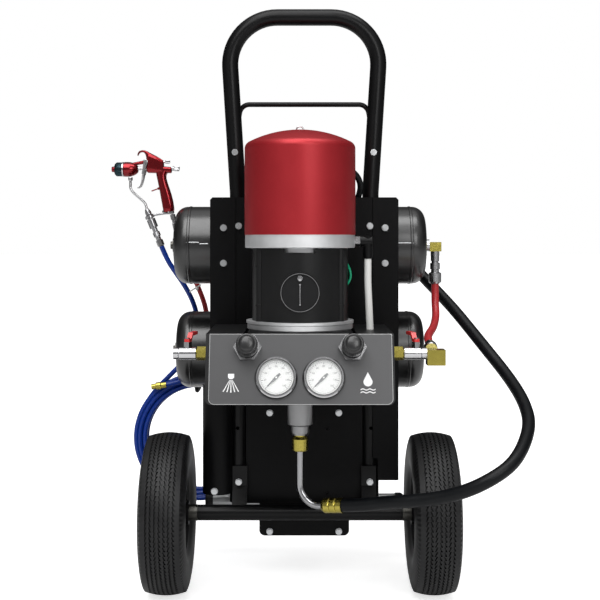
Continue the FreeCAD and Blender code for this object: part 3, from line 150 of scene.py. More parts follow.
class Shader:
    """One material and the nodes behind it."""

    def __init__(self, name: str) -> None:
        """Makes the material with a Principled shader.

        Args:
            name: The material's name.
        """
        self.material = bpy.data.materials.new(name)
        self.material.use_nodes = True
        self.tree = self.material.node_tree
        self.surface = next(n for n in self.tree.nodes if n.type == "BSDF_PRINCIPLED")
        self._place: Signal | None = None

    def node(self, kind: str, settings: dict | None = None, values: dict | None = None,
             output: int | str = 0) -> Signal:
        """Adds a node.

        Args:
            kind: Its type.
            settings: Its own settings; "stops" fills a colour ramp.
            values: A number, colour or link for each of its sockets.
            output: The output to hand back.

        Returns:
            That output, wrapped.
        """
        made = self.tree.nodes.new(kind)
        for key, value in (settings or {}).items():
            if key == "stops":
                self._fill(made.color_ramp, value)
            else:
                setattr(made, key, value)
        for key, value in (values or {}).items():
            self.feed(made.inputs[key], value)
        return Signal(self, made.outputs[output])

    @staticmethod
    def _fill(ramp: bpy.types.ColorRamp, stops: Sequence[tuple[float, float]]) -> None:
        """Gives a ramp its grey stops.

        Args:
            ramp: The ramp.
            stops: Place and brightness of each stop.
        """
        while len(ramp.elements) < len(stops):
            ramp.elements.new(0.5)
        for element, (place, grey) in zip(ramp.elements, stops):
            element.position = place
            element.color = (grey, grey, grey, 1.0)

    def feed(self, socket: bpy.types.NodeSocket, value: object) -> None:
        """Links a signal to a socket, or sets the socket's own value.

        Args:
            socket: The input.
            value: A Signal, a number, or a colour of three numbers.
        """
        if isinstance(value, Signal):
            self.tree.links.new(value.socket, socket)
        elif isinstance(value, (tuple, list)) and socket.type == "RGBA":
            socket.default_value = (*value[:3], 1.0)
        else:
            socket.default_value = value

    @property
    def place(self) -> Signal:
        """The object's own coordinates, which ride with it."""
        if self._place is None:
            self._place = self.node("ShaderNodeTexCoord", output="Object")
        return self._place

    def stretched(self, scale: Point) -> Signal:
        """The object's coordinates, scaled apart along X, Y and Z.

        Args:
            scale: Factor for each axis.

        Returns:
            The scaled place.
        """
        return self.node("ShaderNodeMapping", {"vector_type": "POINT"},
                         {"Vector": self.place, "Scale": scale})

    def noise(self, size: float, detail: float = 3.0, rough: float = 0.5,
              stretch: Point = (1.0, 1.0, 1.0)) -> Signal:
        """Cloudy noise.

        Args:
            size: Rough size of a cloud, in metres.
            detail: Octaves.
            rough: How strong the finer octaves are.
            stretch: Factor for each axis.

        Returns:
            A value about 0.5.
        """
        return self.node("ShaderNodeTexNoise", None, {
            "Vector": self.stretched(stretch), "Scale": 1.0 / size, "Detail": detail,
            "Roughness": rough})

    def axis(self, letter: str) -> Signal:
        """One of the object's own coordinates, in metres.

        Args:
            letter: X, Y or Z.

        Returns:
            That coordinate.
        """
        return self.node("ShaderNodeSeparateXYZ", None, {0: self.place}, letter)

    def ramp(self, value: Signal, *stops: tuple[float, float]) -> Signal:
        """Maps a value through grey stops.

        Args:
            value: The value.
            stops: Place and result of each stop.

        Returns:
            The mapped value.
        """
        return self.node("ShaderNodeValToRGB", {"stops": stops}, {0: value})

    def blend(self, mask: Signal | float, low: Colour | Signal, high: Colour | Signal) -> Signal:
        """Mixes two colours.

        Args:
            mask: 0 gives the first, 1 the second.
            low: First colour.
            high: Second colour.

        Returns:
            The mixed colour.
        """
        return self.node("ShaderNodeMix", {"data_type": "RGBA"}, {0: mask, 6: low, 7: high}, 2)

    def relief(self, height: Signal, depth: float) -> Signal:
        """A normal that follows a height.

        Args:
            height: Height, from 0 to 1.
            depth: What 1 stands for, in metres.

        Returns:
            The normal.
        """
        return self.node("ShaderNodeBump", None, {"Height": height, "Distance": depth},
                         "Normal")

    def set(self, **sockets: object) -> bpy.types.Material:
        """Feeds the Principled shader.

        Args:
            sockets: Its sockets by name, with _ for a space.

        Returns:
            The finished material.
        """
        for name, value in sockets.items():
            self.feed(self.surface.inputs[name.replace("_", " ").title().replace("Ior", "IOR")],
                      value)
        return self.material


# ---------------------------------------------------------------- finishes


@dataclass(frozen=True)
class Paint:
    """Sprayed or baked paint, with its orange peel, its faint clouding and rubbed dust."""

    name: str
    colour: Colour
    roughness: float = 0.4
    metallic: float = 0.0
    coat: float = 0.0
    coat_roughness: float = 0.1
    peel: float = 0.0016
    peel_depth: float = 0.00004
    clouding: float = 0.12
    specular: float = 0.5

    def build(self) -> bpy.types.Material:
        """Makes the material."""
        shader = Shader(self.name)
        cloud = shader.noise(0.06, 4.0, 0.6)
        scuff = shader.ramp(shader.noise(0.012, 5.0, 0.7, (1.0, 1.0, 0.25)),
                            (0.55, 0.0), (0.72, 1.0))
        dark = tuple(c * (1 - self.clouding) for c in self.colour)
        light = tuple(min(1.0, c * (1 + self.clouding) + 0.001) for c in self.colour)
        skin = shader.noise(self.peel, 2.0, 0.5)
        return shader.set(
            base_color=shader.blend(cloud, dark, light),
            roughness=(self.roughness + (cloud - 0.5) * 0.08 + scuff * 0.07).held(),
            metallic=self.metallic, coat_weight=self.coat, coat_roughness=self.coat_roughness,
            specular_ior_level=self.specular, normal=shader.relief(skin, self.peel_depth))


@dataclass(frozen=True)
class FlakePaint:
    """Candy paint over metal flake, under a clear coat."""

    name: str
    colour: Colour
    roughness: float = 0.45
    metallic: float = 0.6
    coat: float = 0.15
    coat_roughness: float = 0.3

    def build(self) -> bpy.types.Material:
        """Makes the material."""
        shader = Shader(self.name)
        flake = shader.node("ShaderNodeTexVoronoi", {"feature": "F1"}, {
            "Vector": shader.place, "Scale": 2600.0}, "Color")
        spark = shader.node("ShaderNodeSeparateColor", None, {0: flake}, 0)
        cloud = shader.noise(0.05, 3.0)
        deep = tuple(c * 0.86 for c in self.colour)
        bright = tuple(min(1.0, c * 1.16 + 0.01) for c in self.colour)
        return shader.set(
            base_color=shader.blend((cloud * 0.6 + spark * 0.4).held(), deep, bright),
            roughness=(self.roughness + (spark - 0.5) * 0.1 + (cloud - 0.5) * 0.05).held(),
            metallic=self.metallic, coat_weight=self.coat, coat_roughness=self.coat_roughness,
            normal=shader.relief(shader.noise(0.004, 2.0), 0.00003))


class Grain(Enum):
    """Which way a metal's tool marks run."""

    NONE = (1.0, 1.0, 1.0)
    ROUND_Z = (1.0, 1.0, 60.0)
    FINE = (6.0, 6.0, 6.0)


@dataclass(frozen=True)
class Metal:
    """Bare or plated metal with its tool marks, smears and dull patches."""

    name: str
    colour: Colour
    roughness: float = 0.25
    grain: Grain = Grain.NONE
    marks: float = 0.00002
    smear: float = 0.12

    def build(self) -> bpy.types.Material:
        """Makes the material."""
        shader = Shader(self.name)
        lines = shader.noise(0.02, 4.0, 0.65, self.grain.value)
        patch = shader.noise(0.014, 3.0)
        dull = tuple(c * 0.82 for c in self.colour)
        return shader.set(
            base_color=shader.blend(patch, dull, self.colour),
            roughness=(self.roughness + (patch - 0.5) * self.smear
                       + (lines - 0.5) * self.smear).held(),
            metallic=1.0, normal=shader.relief(lines, self.marks))


@dataclass(frozen=True)
class Rubber:
    """Rubber, hose or moulded plastic with a fine skin and a little dust."""

    name: str
    colour: Colour
    roughness: float = 0.6
    skin: float = 0.001
    depth: float = 0.00005
    dust: float = 0.02
    coat: float = 0.0
    specular: float = 0.5

    def build(self) -> bpy.types.Material:
        """Makes the material."""
        shader = Shader(self.name)
        fine = shader.noise(self.skin, 3.0, 0.6)
        patch = shader.noise(0.03, 4.0, 0.65)
        dusty = tuple(min(1.0, c + self.dust) for c in self.colour)
        return shader.set(
            base_color=shader.blend(shader.ramp(patch, (0.4, 0.0), (0.75, 1.0)),
                                    self.colour, dusty),
            roughness=(self.roughness + (patch - 0.5) * 0.15).held(),
            coat_weight=self.coat, specular_ior_level=self.specular,
            normal=shader.relief(fine, self.depth))


@dataclass(frozen=True)
class ClearLens:
    """A gauge's clear front."""

    name: str

    def build(self) -> bpy.types.Material:
        """Makes the material."""
        shader = Shader(self.name)
        smear = shader.noise(0.02, 3.0)
        return shader.set(base_color=(0.95, 0.97, 0.98), roughness=smear * 0.06 + 0.02,
                          alpha=0.14)


class Finish(Enum):
    """Every finish on the machine."""

    POWDER_COAT = Paint("powder coat black", (0.0021, 0.0021, 0.0024), 0.42, peel=0.0022,
                        peel_depth=0.00005, specular=0.09)
    TUBE_COAT = Paint("tube coat black", (0.002, 0.002, 0.0023), 0.3, peel=0.003,
                      peel_depth=0.00005, specular=0.17)
    TANK_PAINT = Paint("tank enamel black", (0.0028, 0.0028, 0.0031), 0.3, coat=0.55,
                       coat_roughness=0.24, peel=0.005, peel_depth=0.00006)
    PANEL_BLACK = Paint("panel black", (0.006, 0.006, 0.0065), 0.42, peel=0.002, specular=0.25)
    PANEL_GREY = Paint("panel grey", (0.06, 0.06, 0.062), 0.42, metallic=0.2, coat=0.1,
                       peel=0.0012, clouding=0.07)
    PLATE_EDGE = Paint("plate edge grey", (0.42, 0.42, 0.42), 0.4, metallic=0.3)
    SHROUD = Paint("skirt black", (0.003, 0.003, 0.0033), 0.34, peel=0.003, specular=0.3)
    DISC = Paint("disc black", (0.0065, 0.0065, 0.007), 0.42, peel=0.003, specular=0.2)
    COVER_RED = FlakePaint("candy red", (0.335, 0.005, 0.011))
    GUN_RED = Paint("anodised red", (0.2, 0.001, 0.005), 0.2, 0.9, 0.4, 0.06, 0.006, 0.00001,
                    0.08)
    GUN_GREY = Metal("anodised teal", (0.03, 0.055, 0.065), 0.3)
    GUN_STEEL = Metal("blued steel", (0.36, 0.36, 0.37), 0.2, Grain.FINE, 0.000006)
    GUN_CHROME = Metal("gun chrome", (0.6, 0.6, 0.61), 0.1, Grain.NONE, 0.000001, 0.04)
    MACHINED = Metal("machined steel", (0.32, 0.32, 0.325), 0.34, Grain.ROUND_Z, 0.00001)
    DARK_STEEL = Metal("blackened steel", (0.09, 0.088, 0.08), 0.32, Grain.FINE, 0.00001)
    ALUMINIUM = Metal("turned aluminium", (0.73, 0.735, 0.745), 0.55, Grain.ROUND_Z)
    BAR_GREY = Metal("galvanised bar", (0.55, 0.56, 0.57), 0.5, Grain.FINE)
    PLATED = Metal("chrome plate", (0.6, 0.6, 0.61), 0.12, marks=0.000006, smear=0.06)
    STEEL = Metal("bright steel", (0.5, 0.5, 0.51), 0.24, Grain.FINE, 0.000008)
    ZINC = Metal("zinc plate", (0.56, 0.57, 0.58), 0.3, Grain.FINE)
    BRASS = Metal("worn brass", (0.47, 0.395, 0.085), 0.26, Grain.FINE, 0.00001)
    TYRE = Rubber("tyre rubber", (0.0055, 0.0055, 0.006), 0.46, 0.0016, 0.00008, 0.006,
                  specular=0.3)
    RUBBER = Rubber("black rubber", (0.012, 0.012, 0.012), 0.55, specular=0.3)
    KNOB = Rubber("knob plastic", (0.006, 0.006, 0.0065), 0.34, 0.0012, 0.00003, 0.008, 0.2)
    HOSE_BLACK = Rubber("black hose", (0.0022, 0.0028, 0.0036), 0.4, 0.0011, 0.00009, 0.002,
                        specular=0.18)
    HOSE_RED = Rubber("red hose", (0.40, 0.014, 0.018), 0.42, 0.0011, 0.00006, 0.01, 0.1)
    HOSE_BLUE = Rubber("blue hose", (0.002, 0.028, 0.23), 0.32, 0.0011, 0.00005, 0.003,
                       specular=0.32)
    TUBE_WHITE = Rubber("white nylon", (0.66, 0.66, 0.64), 0.35, 0.002, 0.00002, 0.02, 0.1)
    TIE_WHITE = Rubber("white tie", (0.8, 0.8, 0.79), 0.4, 0.002, 0.00002, 0.0)
    WIRE_GREEN = Rubber("green wire", (0.0, 0.42, 0.2), 0.35, 0.002, 0.00002, 0.0, 0.1)
    LEVER_RED = Rubber("lever red", (0.6, 0.02, 0.02), 0.3, 0.001, 0.00003, 0.02, 0.2)
    DIAL = Rubber("dial enamel", (0.84, 0.84, 0.82), 0.4, 0.002, 0.00001, 0.02)
    INK = Rubber("dial ink", (0.02, 0.02, 0.02), 0.5, 0.002, 0.00001, 0.0)
    MARK_WHITE = Rubber("mark white", (0.8, 0.8, 0.8), 0.45, 0.002, 0.00001, 0.0)
    LENS = ClearLens("gauge lens")

    @property
    def material(self) -> bpy.types.Material:
        """The finish's material, made once."""
        return bpy.data.materials.get(self.value.name) or self.value.build()


# ---------------------------------------------------------------- piece makers


def dress(nodes: dict[str, bpy.types.Object], finish: Finish, *names: str) -> None:
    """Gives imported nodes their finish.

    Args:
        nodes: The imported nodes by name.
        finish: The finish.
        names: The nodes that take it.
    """
    for name in names:
        mesh = nodes[name].data
        mesh.materials.clear()
        mesh.materials.append(finish.material)
        for polygon in mesh.polygons:
            polygon.material_index = 0


def placed(name: str, data: bpy.types.Mesh | bpy.types.Curve, finish: Finish, body: str) -> bpy.types.Object:
    """Makes an object in its finish and puts it on its body.

    Args:
        name: The piece's name.
        data: Its mesh or curve, in the frame.
        finish: Its finish.
        body: The body it rides on.

    Returns:
        The piece.
    """
    data.materials.append(finish.material)
    thing = bpy.data.objects.new(name, data)
    bpy.context.scene.collection.objects.link(thing)
    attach(thing, body)
    LOG.info("%s rides on %s", name, body)
    return thing


def piece(name: str, mesh: bmesh.types.BMesh | bpy.types.Mesh, finish: Finish, body: str,
          crease: float = 32.0) -> bpy.types.Object:
    """Makes an object of a mesh and puts it on its body.

    Args:
        name: The piece's name.
        mesh: Its mesh, in the frame.
        finish: Its finish.
        body: The body it rides on.
        crease: Edges sharper than this stay sharp, in degrees.

    Returns:
        The piece.
    """
    data = mesh
    if isinstance(mesh, bmesh.types.BMesh):
        bmesh.ops.recalc_face_normals(mesh, faces=mesh.faces)
        for edge in mesh.edges:
            edge.smooth = (len(edge.link_faces) == 2
                           and edge.calc_face_angle(0) < math.radians(crease))
        for face in mesh.faces:
            face.smooth = True
        data = bpy.data.meshes.new(name)
        mesh.to_mesh(data)
        mesh.free()
    return placed(name, data, finish, body)


def stand(origin: Vector, axis: Vector, across: Vector = Vector((1, 0, 0))) -> Matrix:
    """A local frame whose Z runs along an axis.

    Args:
        origin: Where it stands.
        axis: Its Z.
        across: A direction that its X leans to; up instead where the axis lies along it.

    Returns:
        The matrix from local to frame.
    """
    up = axis.normalized()
    lean = across if abs(up.dot(across.normalized())) < 0.999 else Vector((0, 0, 1))
    right = (lean - up * lean.dot(up)).normalized()
    turn = Matrix((right, up.cross(right), up)).transposed().to_4x4()
    return Matrix.Translation(origin) @ turn


def revolved(profile: Profile, place: Matrix, steps: int = 64,
             radius: Callable[[float, int, float], float] | None = None) -> bmesh.types.BMesh:
    """Turns a profile about the local Z.

    Args:
        profile: Radius and height of each corner, in metres.
        place: The local frame.
        steps: Facets round it.
        radius: Changes a corner's radius by turn angle, corner number and radius.

    Returns:
        The turned mesh.
    """
    mesh = bmesh.new()
    rings: list[list[bmesh.types.BMVert]] = []
    for number, (r, z) in enumerate(profile):
        if r <= 1e-7:
            rings.append([mesh.verts.new(place @ Vector((0, 0, z)))])
            continue
        ring = []
        for step in range(steps):
            turn = math.tau * step / steps
            wide = radius(turn, number, r) if radius else r
            ring.append(mesh.verts.new(place @ Vector((wide * math.cos(turn),
                                                       wide * math.sin(turn), z))))
        rings.append(ring)
    for low, high in zip(rings, rings[1:]):
        for step in range(steps):
            after = (step + 1) % steps
            corners = [low[step % len(low)], low[after % len(low)], high[after % len(high)],
                       high[step % len(high)]]
            unique = list(dict.fromkeys(corners))
            if len(unique) > 2:
                mesh.faces.new(unique)
    if len(rings[0]) > 1 and profile[0] == profile[-1]:
        bmesh.ops.remove_doubles(mesh, verts=[*rings[0], *rings[-1]], dist=1e-7)
    return mesh


def arc(middle: Corner, radius: float, start: float, sweep: float, steps: int) -> list[Corner]:
    """Points round an arc.

    Args:
        middle: Its centre.
        radius: Its radius.
        start: Where it starts, in degrees from the first axis.
        sweep: How far it turns, in degrees.
        steps: How many steps it takes.

    Returns:
        One more point than steps.
    """
    turns = [math.radians(start + sweep * step / steps) for step in range(steps + 1)]
    return [(middle[0] + radius * math.cos(turn), middle[1] + radius * math.sin(turn))
            for turn in turns]


def drum(start: float, end: float, radius: float, inset: float, rise: float) -> list[Corner]:
    """Half the section of a round or hexagonal bar with bevelled ends.

    Args:
        start: Where it starts along its axis.
        end: Where it ends.
        radius: Its radius.
        inset: How far the bevel goes in.
        rise: How far the bevel goes along.

    Returns:
        Radius and height of each corner, for revolved.
    """
    return [(0, start), (radius - inset, start), (radius, start + rise), (radius, end - rise),
            (radius - inset, end), (0, end)]


def hoop(inner: float, outer: float, start: float, end: float) -> list[Corner]:
    """The section of a flat ring, for revolved.

    Args:
        inner: Its inner radius.
        outer: Its outer radius.
        start: Where it starts along its axis.
        end: Where it ends.

    Returns:
        Radius and height of each corner.
    """
    return [(inner, start), (outer, start), (outer, end), (inner, end), (inner, start)]


def skin(mesh: bmesh.types.BMesh, rings: Sequence[Sequence[bmesh.types.BMVert]]) -> None:
    """Joins each closed ring of corners to the next with a band of faces.

    Args:
        mesh: The mesh that holds the corners.
        rings: Rings with one count of corners; the first again at the end closes the skin.
    """
    for ring, after in zip(rings, rings[1:]):
        for index, corner in enumerate(ring):
            nxt = (index + 1) % len(ring)
            mesh.faces.new((corner, ring[nxt], after[nxt], after[index]))


def sheet_metal(outline: Iterable[Corner], depth: float,
                place: Matrix, bevel: float = 0.0) -> bmesh.types.BMesh:
    """A flat outline made thick along the local Z.

    Args:
        outline: Its corners in the local X and Y.
        depth: Thickness.
        place: The local frame.
        bevel: Width of the rounded edges.

    Returns:
        The mesh.
    """
    mesh = bmesh.new()
    low = [mesh.verts.new((x, y, 0)) for x, y in outline]
    base = mesh.faces.new(low)
    raised = bmesh.ops.extrude_face_region(mesh, geom=[base])
    top = [v for v in raised["geom"] if isinstance(v, bmesh.types.BMVert)]
    bmesh.ops.translate(mesh, verts=top, vec=(0, 0, depth))
    bmesh.ops.recalc_face_normals(mesh, faces=mesh.faces)
    if bevel:
        rims = [e for e in mesh.edges if abs(e.verts[0].co.z - e.verts[1].co.z) < 1e-9]
        bmesh.ops.bevel(mesh, geom=rims, offset=bevel, segments=3, profile=0.5, affect="EDGES")
    mesh.transform(place)
    return mesh


@dataclass(frozen=True)
class Station:
    """A cross-section along a bent shape, in millimetres in the gun's own upright plane."""

    x: float
    z: float
    half: float
    wide: float
    power: float = 4.0


def lofted(stations: Sequence[Station], middle: Vector, steps: int = 32,
           upright: bool = False) -> bmesh.types.BMesh:
    """A closed skin over stations along a bent line.

    Args:
        stations: Its cross-sections in order; half lies in the plane, wide along Y.
        middle: The plane's origin in the frame.
        steps: Facets round it.
        upright: Whether its cross-sections stand upright instead of square to the line.

    Returns:
        The mesh.
    """
    mesh = bmesh.new()
    rings = []
    last = len(stations) - 1
    for index, station in enumerate(stations):
        before, after = stations[max(index - 1, 0)], stations[min(index + 1, last)]
        along = Vector((after.x - before.x, 0, after.z - before.z)).normalized()
        across = Vector((0, 0, 1)) if upright else Vector((-along.z, 0, along.x))
        ring = []
        for step in range(steps):
            turn = math.tau * (step + 0.5) / steps
            cosine, sine = math.cos(turn), math.sin(turn)
            grow = (abs(cosine) ** station.power + abs(sine) ** station.power) ** (
                -1 / station.power)
            spot = (Vector((station.x, 0, station.z)) + across * station.half * grow * cosine
                    + Vector((0, station.wide * grow * sine, 0)))
            ring.append(mesh.verts.new(middle + spot / 1000))
        rings.append(ring)
    skin(mesh, rings)
    mesh.faces.new(rings[0])
    mesh.faces.new(rings[-1])
    return mesh


def merged(*meshes: bmesh.types.BMesh) -> bmesh.types.BMesh:
    """Joins meshes into the first one."""
    first = meshes[0]
    for other in meshes[1:]:
        held = bpy.data.meshes.new("held")
        other.to_mesh(held)
        other.free()
        first.from_mesh(held)
        bpy.data.meshes.remove(held)
    return first


def line(name: str, points: Sequence[Vector], radius: float, finish: Finish, body: str,
         steps: int = 8, closed: bool = False) -> bpy.types.Object:
    """A round line through smooth control points.

    Args:
        name: The piece's name.
        points: Its control points.
        radius: Its radius.
        finish: Its finish.
        body: The body it rides on.
        steps: Facets round half of it.
        closed: Whether it is a ring.

    Returns:
        The curve piece.
    """
    data = bpy.data.curves.new(name, "CURVE")
    data.dimensions = "3D"
    spline = data.splines.new("NURBS")
    spline.points.add(len(points) - 1)
    for spot, place in zip(spline.points, points):
        spot.co = (*place, 1.0)
    spline.order_u = 3
    spline.use_endpoint_u = not closed
    spline.use_cyclic_u = closed
    spline.resolution_u = 12
    data.bevel_depth = radius
    data.bevel_resolution = steps
    data.use_fill_caps = True
    return placed(name, data, finish, body)


# ---------------------------------------------------------------- the cart


@dataclass
class Cart:
    """Handle loop, plates, tanks, wheels and everything bolted to them."""

    nodes: dict[str, bpy.types.Object]
    tooth_count: int = 104
    tread_zigzag: float = 0.0017
    groove_half: float = 0.0011
    groove_depth: float = 0.0032
    wheel_radius: float = 0.129
    track_half: float = 214.2
    crown_drop: float = 0.0039
    tread_edge: float = 0.0302
    tread_shoulder: float = 0.0264
    notch_depth: float = 0.0021
    tooth_phases: tuple[float, ...] = (0.0, 0.33, 0.66, 0.985)
    groove_lines: tuple[float, ...] = (-0.0208, -0.0139, -0.0070, 0.0, 0.0070, 0.0139, 0.0208)
    # Ends and height of each weld bead on the tanks; the beads are coloured bright grey as a painted
    # highlight.
    bead_highlight_lines: tuple[Point, ...] = ((-189.6, -168.6, 568.0), (-167.6, -153.0, 565.6),
                                     (155.0, 190.0, 567.0))
    tyre_side: tuple[Corner, ...] = (
        (0.0302, 0.1250), (0.0317, 0.1238), (0.0331, 0.1208), (0.0346, 0.1158),
        (0.0359, 0.1092), (0.0367, 0.1020), (0.0370, 0.0950), (0.0369, 0.0888),
        (0.0361, 0.0826), (0.0345, 0.0764), (0.0320, 0.0706), (0.0291, 0.0663),
        (0.0285, 0.0642), (0.0258, 0.0619), (0.0208, 0.0603), (0.0174, 0.0523))

    def build(self) -> None:
        """Dresses the frame and builds the tyres and the tanks' weld beads, which are drawn in bright grey
        as a painted highlight.
        """
        dress(self.nodes, Finish.POWDER_COAT, "back_plate", "wing_plates", "mount_plate",
              "tank_brackets", "rim_left", "rim_right", "pump_bracket")
        dress(self.nodes, Finish.TUBE_COAT, "handle_frame", "hose_rack_rod", "axle_tube",
              "rear_stand")
        dress(self.nodes, Finish.PLATED, "lifting_eye")
        dress(self.nodes, Finish.TANK_PAINT, "upper_tank", "lower_tank")
        dress(self.nodes, Finish.ZINC, "frame_bolts")
        dress(self.nodes, Finish.BAR_GREY, "rear_tie_bar")
        dress(self.nodes, Finish.DARK_STEEL, "axle_shaft")
        dress(self.nodes, Finish.RUBBER, "rubber_ends")
        for side, way in (("left", -1), ("right", 1)):
            self.tyre(side, way)
        # The weld beads are real, but their bright galvanised grey is a painted highlight; on the black
        # enamelled tank they would be black.
        for number, (start, end, height) in enumerate(self.bead_highlight_lines):
            line(f"tank_seam_highlight_{number}", [at(x, 49.3, height)
                                         for x in (start, (start + end) / 2, end)],
                 0.0010, Finish.BAR_GREY, "cart", 3)

    def crown(self, x: float) -> float:
        """The tread's radius at a distance from its middle, before grooves."""
        return self.wheel_radius - self.crown_drop * (x / 0.027) ** 2

    def tread_row(self, turn: float) -> list[Corner]:
        """One row of tread corners across the tyre at a turn.

        Args:
            turn: Where round the tyre, as a count of teeth.

        Returns:
            Distance from the middle and radius of each corner.
        """
        phase = turn % 1.0
        shoulder = [(x, self.crown(x)) for x in (self.tread_shoulder, self.tread_edge)]
        row = [(-x, r) for x, r in reversed(shoulder)]
        for number, middle in enumerate(self.groove_lines):
            saw = (phase if number % 2 else 1 - phase) - 0.5
            shift = self.tread_zigzag * 2 * saw * (1 if middle > 0 else -1)
            for side in (-1, 1):
                edge = middle + side * self.groove_half + shift * (1 if side > 0 else 0.55)
                top = (edge, self.crown(edge))
                low = (edge - side * 0.0004, self.crown(edge) - self.groove_depth)
                row += [top, low] if side < 0 else [low, top]
            if number < len(self.groove_lines) - 1:
                between = (middle + self.groove_lines[number + 1]) / 2
                row.append((between, self.crown(between)))
        return row + shoulder

    def tyre(self, side: str, way: int) -> None:
        """A tyre with zigzag grooves, notched shoulders and a moulded bead.

        Args:
            side: left or right.
            way: -1 or 1.
        """
        mesh = bmesh.new()
        centre = at(way * self.track_half, 0, self.wheel_radius * 1000)
        rows: list[list[bmesh.types.BMVert]] = []
        for step in range(self.tooth_count * len(self.tooth_phases)):
            tooth, part = divmod(step, len(self.tooth_phases))
            turns = tooth + self.tooth_phases[part]
            angle = math.tau * turns / self.tooth_count
            notch = self.notch_depth if part in (1, 2) else 0.0
            tread = self.tread_row(turns)
            side_line = [(x, r - notch * (1 if index in (1, 2, 3) else 0))
                         for index, (x, r) in enumerate(self.tyre_side)]
            profile = ([(-x, r) for x, r in reversed(side_line[1:])] + tread + side_line[1:])
            rows.append([mesh.verts.new(centre + Vector((x, -r * math.cos(angle),
                                                         r * math.sin(angle))))
                         for x, r in profile])
        skin(mesh, [*rows, rows[0]])
        tyre = piece(f"tyre_tread_{side}", mesh, Finish.TYRE, f"wheel_{side}", 28.0)
        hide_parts(f"tyre_{side}")
        stem = revolved([(0, 0), (0.0042, 0), (0.0042, 0.014), (0.003, 0.016), (0.003, 0.022),
                         (0.0036, 0.0225), (0.0036, 0.03), (0, 0.0305)],
                        stand(centre + Vector((way * 0.020, 0, 0.040)),
                              Vector((way * 0.9, 0, -0.35))), 24)
        piece(f"valve_stem_{side}", stem, Finish.RUBBER, f"wheel_{side}")


# ---------------------------------------------------------------- the air motor and pump


@dataclass
class AirMotor:
    """Red cover, aluminium flanges, black skirt with its window, and the lines beside it."""

    nodes: dict[str, bpy.types.Object]
    face_back: float = -168.0
    disc_height: float = 494.0
    disc_radius: float = 28.5
    nut_end: float = 0.0935

    def build(self) -> None:
        """Dresses the pump and adds its small parts."""
        dress(self.nodes, Finish.COVER_RED, "motor_cover")
        dress(self.nodes, Finish.ALUMINIUM, "motor_base", "lower_flange")
        dress(self.nodes, Finish.MACHINED, "pump_cylinder")
        dress(self.nodes, Finish.SHROUD, "shroud")
        dress(self.nodes, Finish.DISC, "inspection_disc")
        dress(self.nodes, Finish.STEEL, "tie_rods")
        dress(self.nodes, Finish.PLATED, "piston_rod")
        dress(self.nodes, Finish.TUBE_COAT, "air_elbow")
        dress(self.nodes, Finish.TUBE_WHITE, "air_tube")
        self.elbow_nut()
        self.window_ring()
        self.ground_wire()

    def elbow_nut(self) -> None:
        """Plates the nut that joins the black elbow to the base."""
        node = self.nodes["air_elbow"]
        node.data.materials.append(Finish.ALUMINIUM.material)
        for polygon in node.data.polygons:
            if (node.matrix_world @ polygon.center).x < self.nut_end:
                polygon.material_index = 1

    def window_ring(self) -> None:
        """The bright ring round the inspection disc, its screw and its handle slot."""
        front = at(0, self.face_back, self.disc_height)
        r = self.disc_radius / 1000
        ring = revolved([(r - 0.0010, 0.0), (r + 0.0004, 0.0), (r + 0.0004, 0.0024),
                         (r + 0.0001, 0.003), (r - 0.0007, 0.003), (r - 0.0010, 0.0024),
                         (r - 0.0010, 0.0)], stand(front, Vector((0, -1, 0))), 96)
        piece("window_ring", ring, Finish.PLATED, "disc")
        screw = revolved([(0, 0), (0.0042, 0), (0.0042, 0.0012), (0.0034, 0.0021),
                          (0.0014, 0.0023), (0.0013, 0.0010), (0, 0.0010)],
                         stand(at(0, self.face_back - 2.3, 515), Vector((0, -1, 0))), 40)
        piece("window_screw", screw, Finish.PLATED, "disc")
        outline = [(-0.0007, -0.017), (0.0007, -0.017), (0.0012, -0.0155), (0.0007, -0.014),
                   (0.0007, 0.012), (0.0014, 0.0135), (0.0007, 0.015), (-0.0007, 0.015),
                   (-0.0014, 0.0135), (-0.0007, 0.012), (-0.0007, -0.014), (-0.0012, -0.0155)]
        handle = sheet_metal(outline, 0.0009, stand(
            at(0, self.face_back - 1.6, self.disc_height - 2), Vector((0, -1, 0))), 0.0003)
        piece("window_handle", handle, Finish.STEEL, "disc")

    def ground_wire(self) -> None:
        """The green ground wire at the skirt's right side."""
        points = route((58, -62, 556), (64, -66, 546), (74, -74, 535), (79, -80, 522),
                       (78.5, -80, 510), (70, -74, 498), (60, -66, 486), (57, -63, 478))
        wire = line("ground_wire", points, 0.0018, Finish.WIRE_GREEN, "cart", 4)


# ---------------------------------------------------------------- the control panel


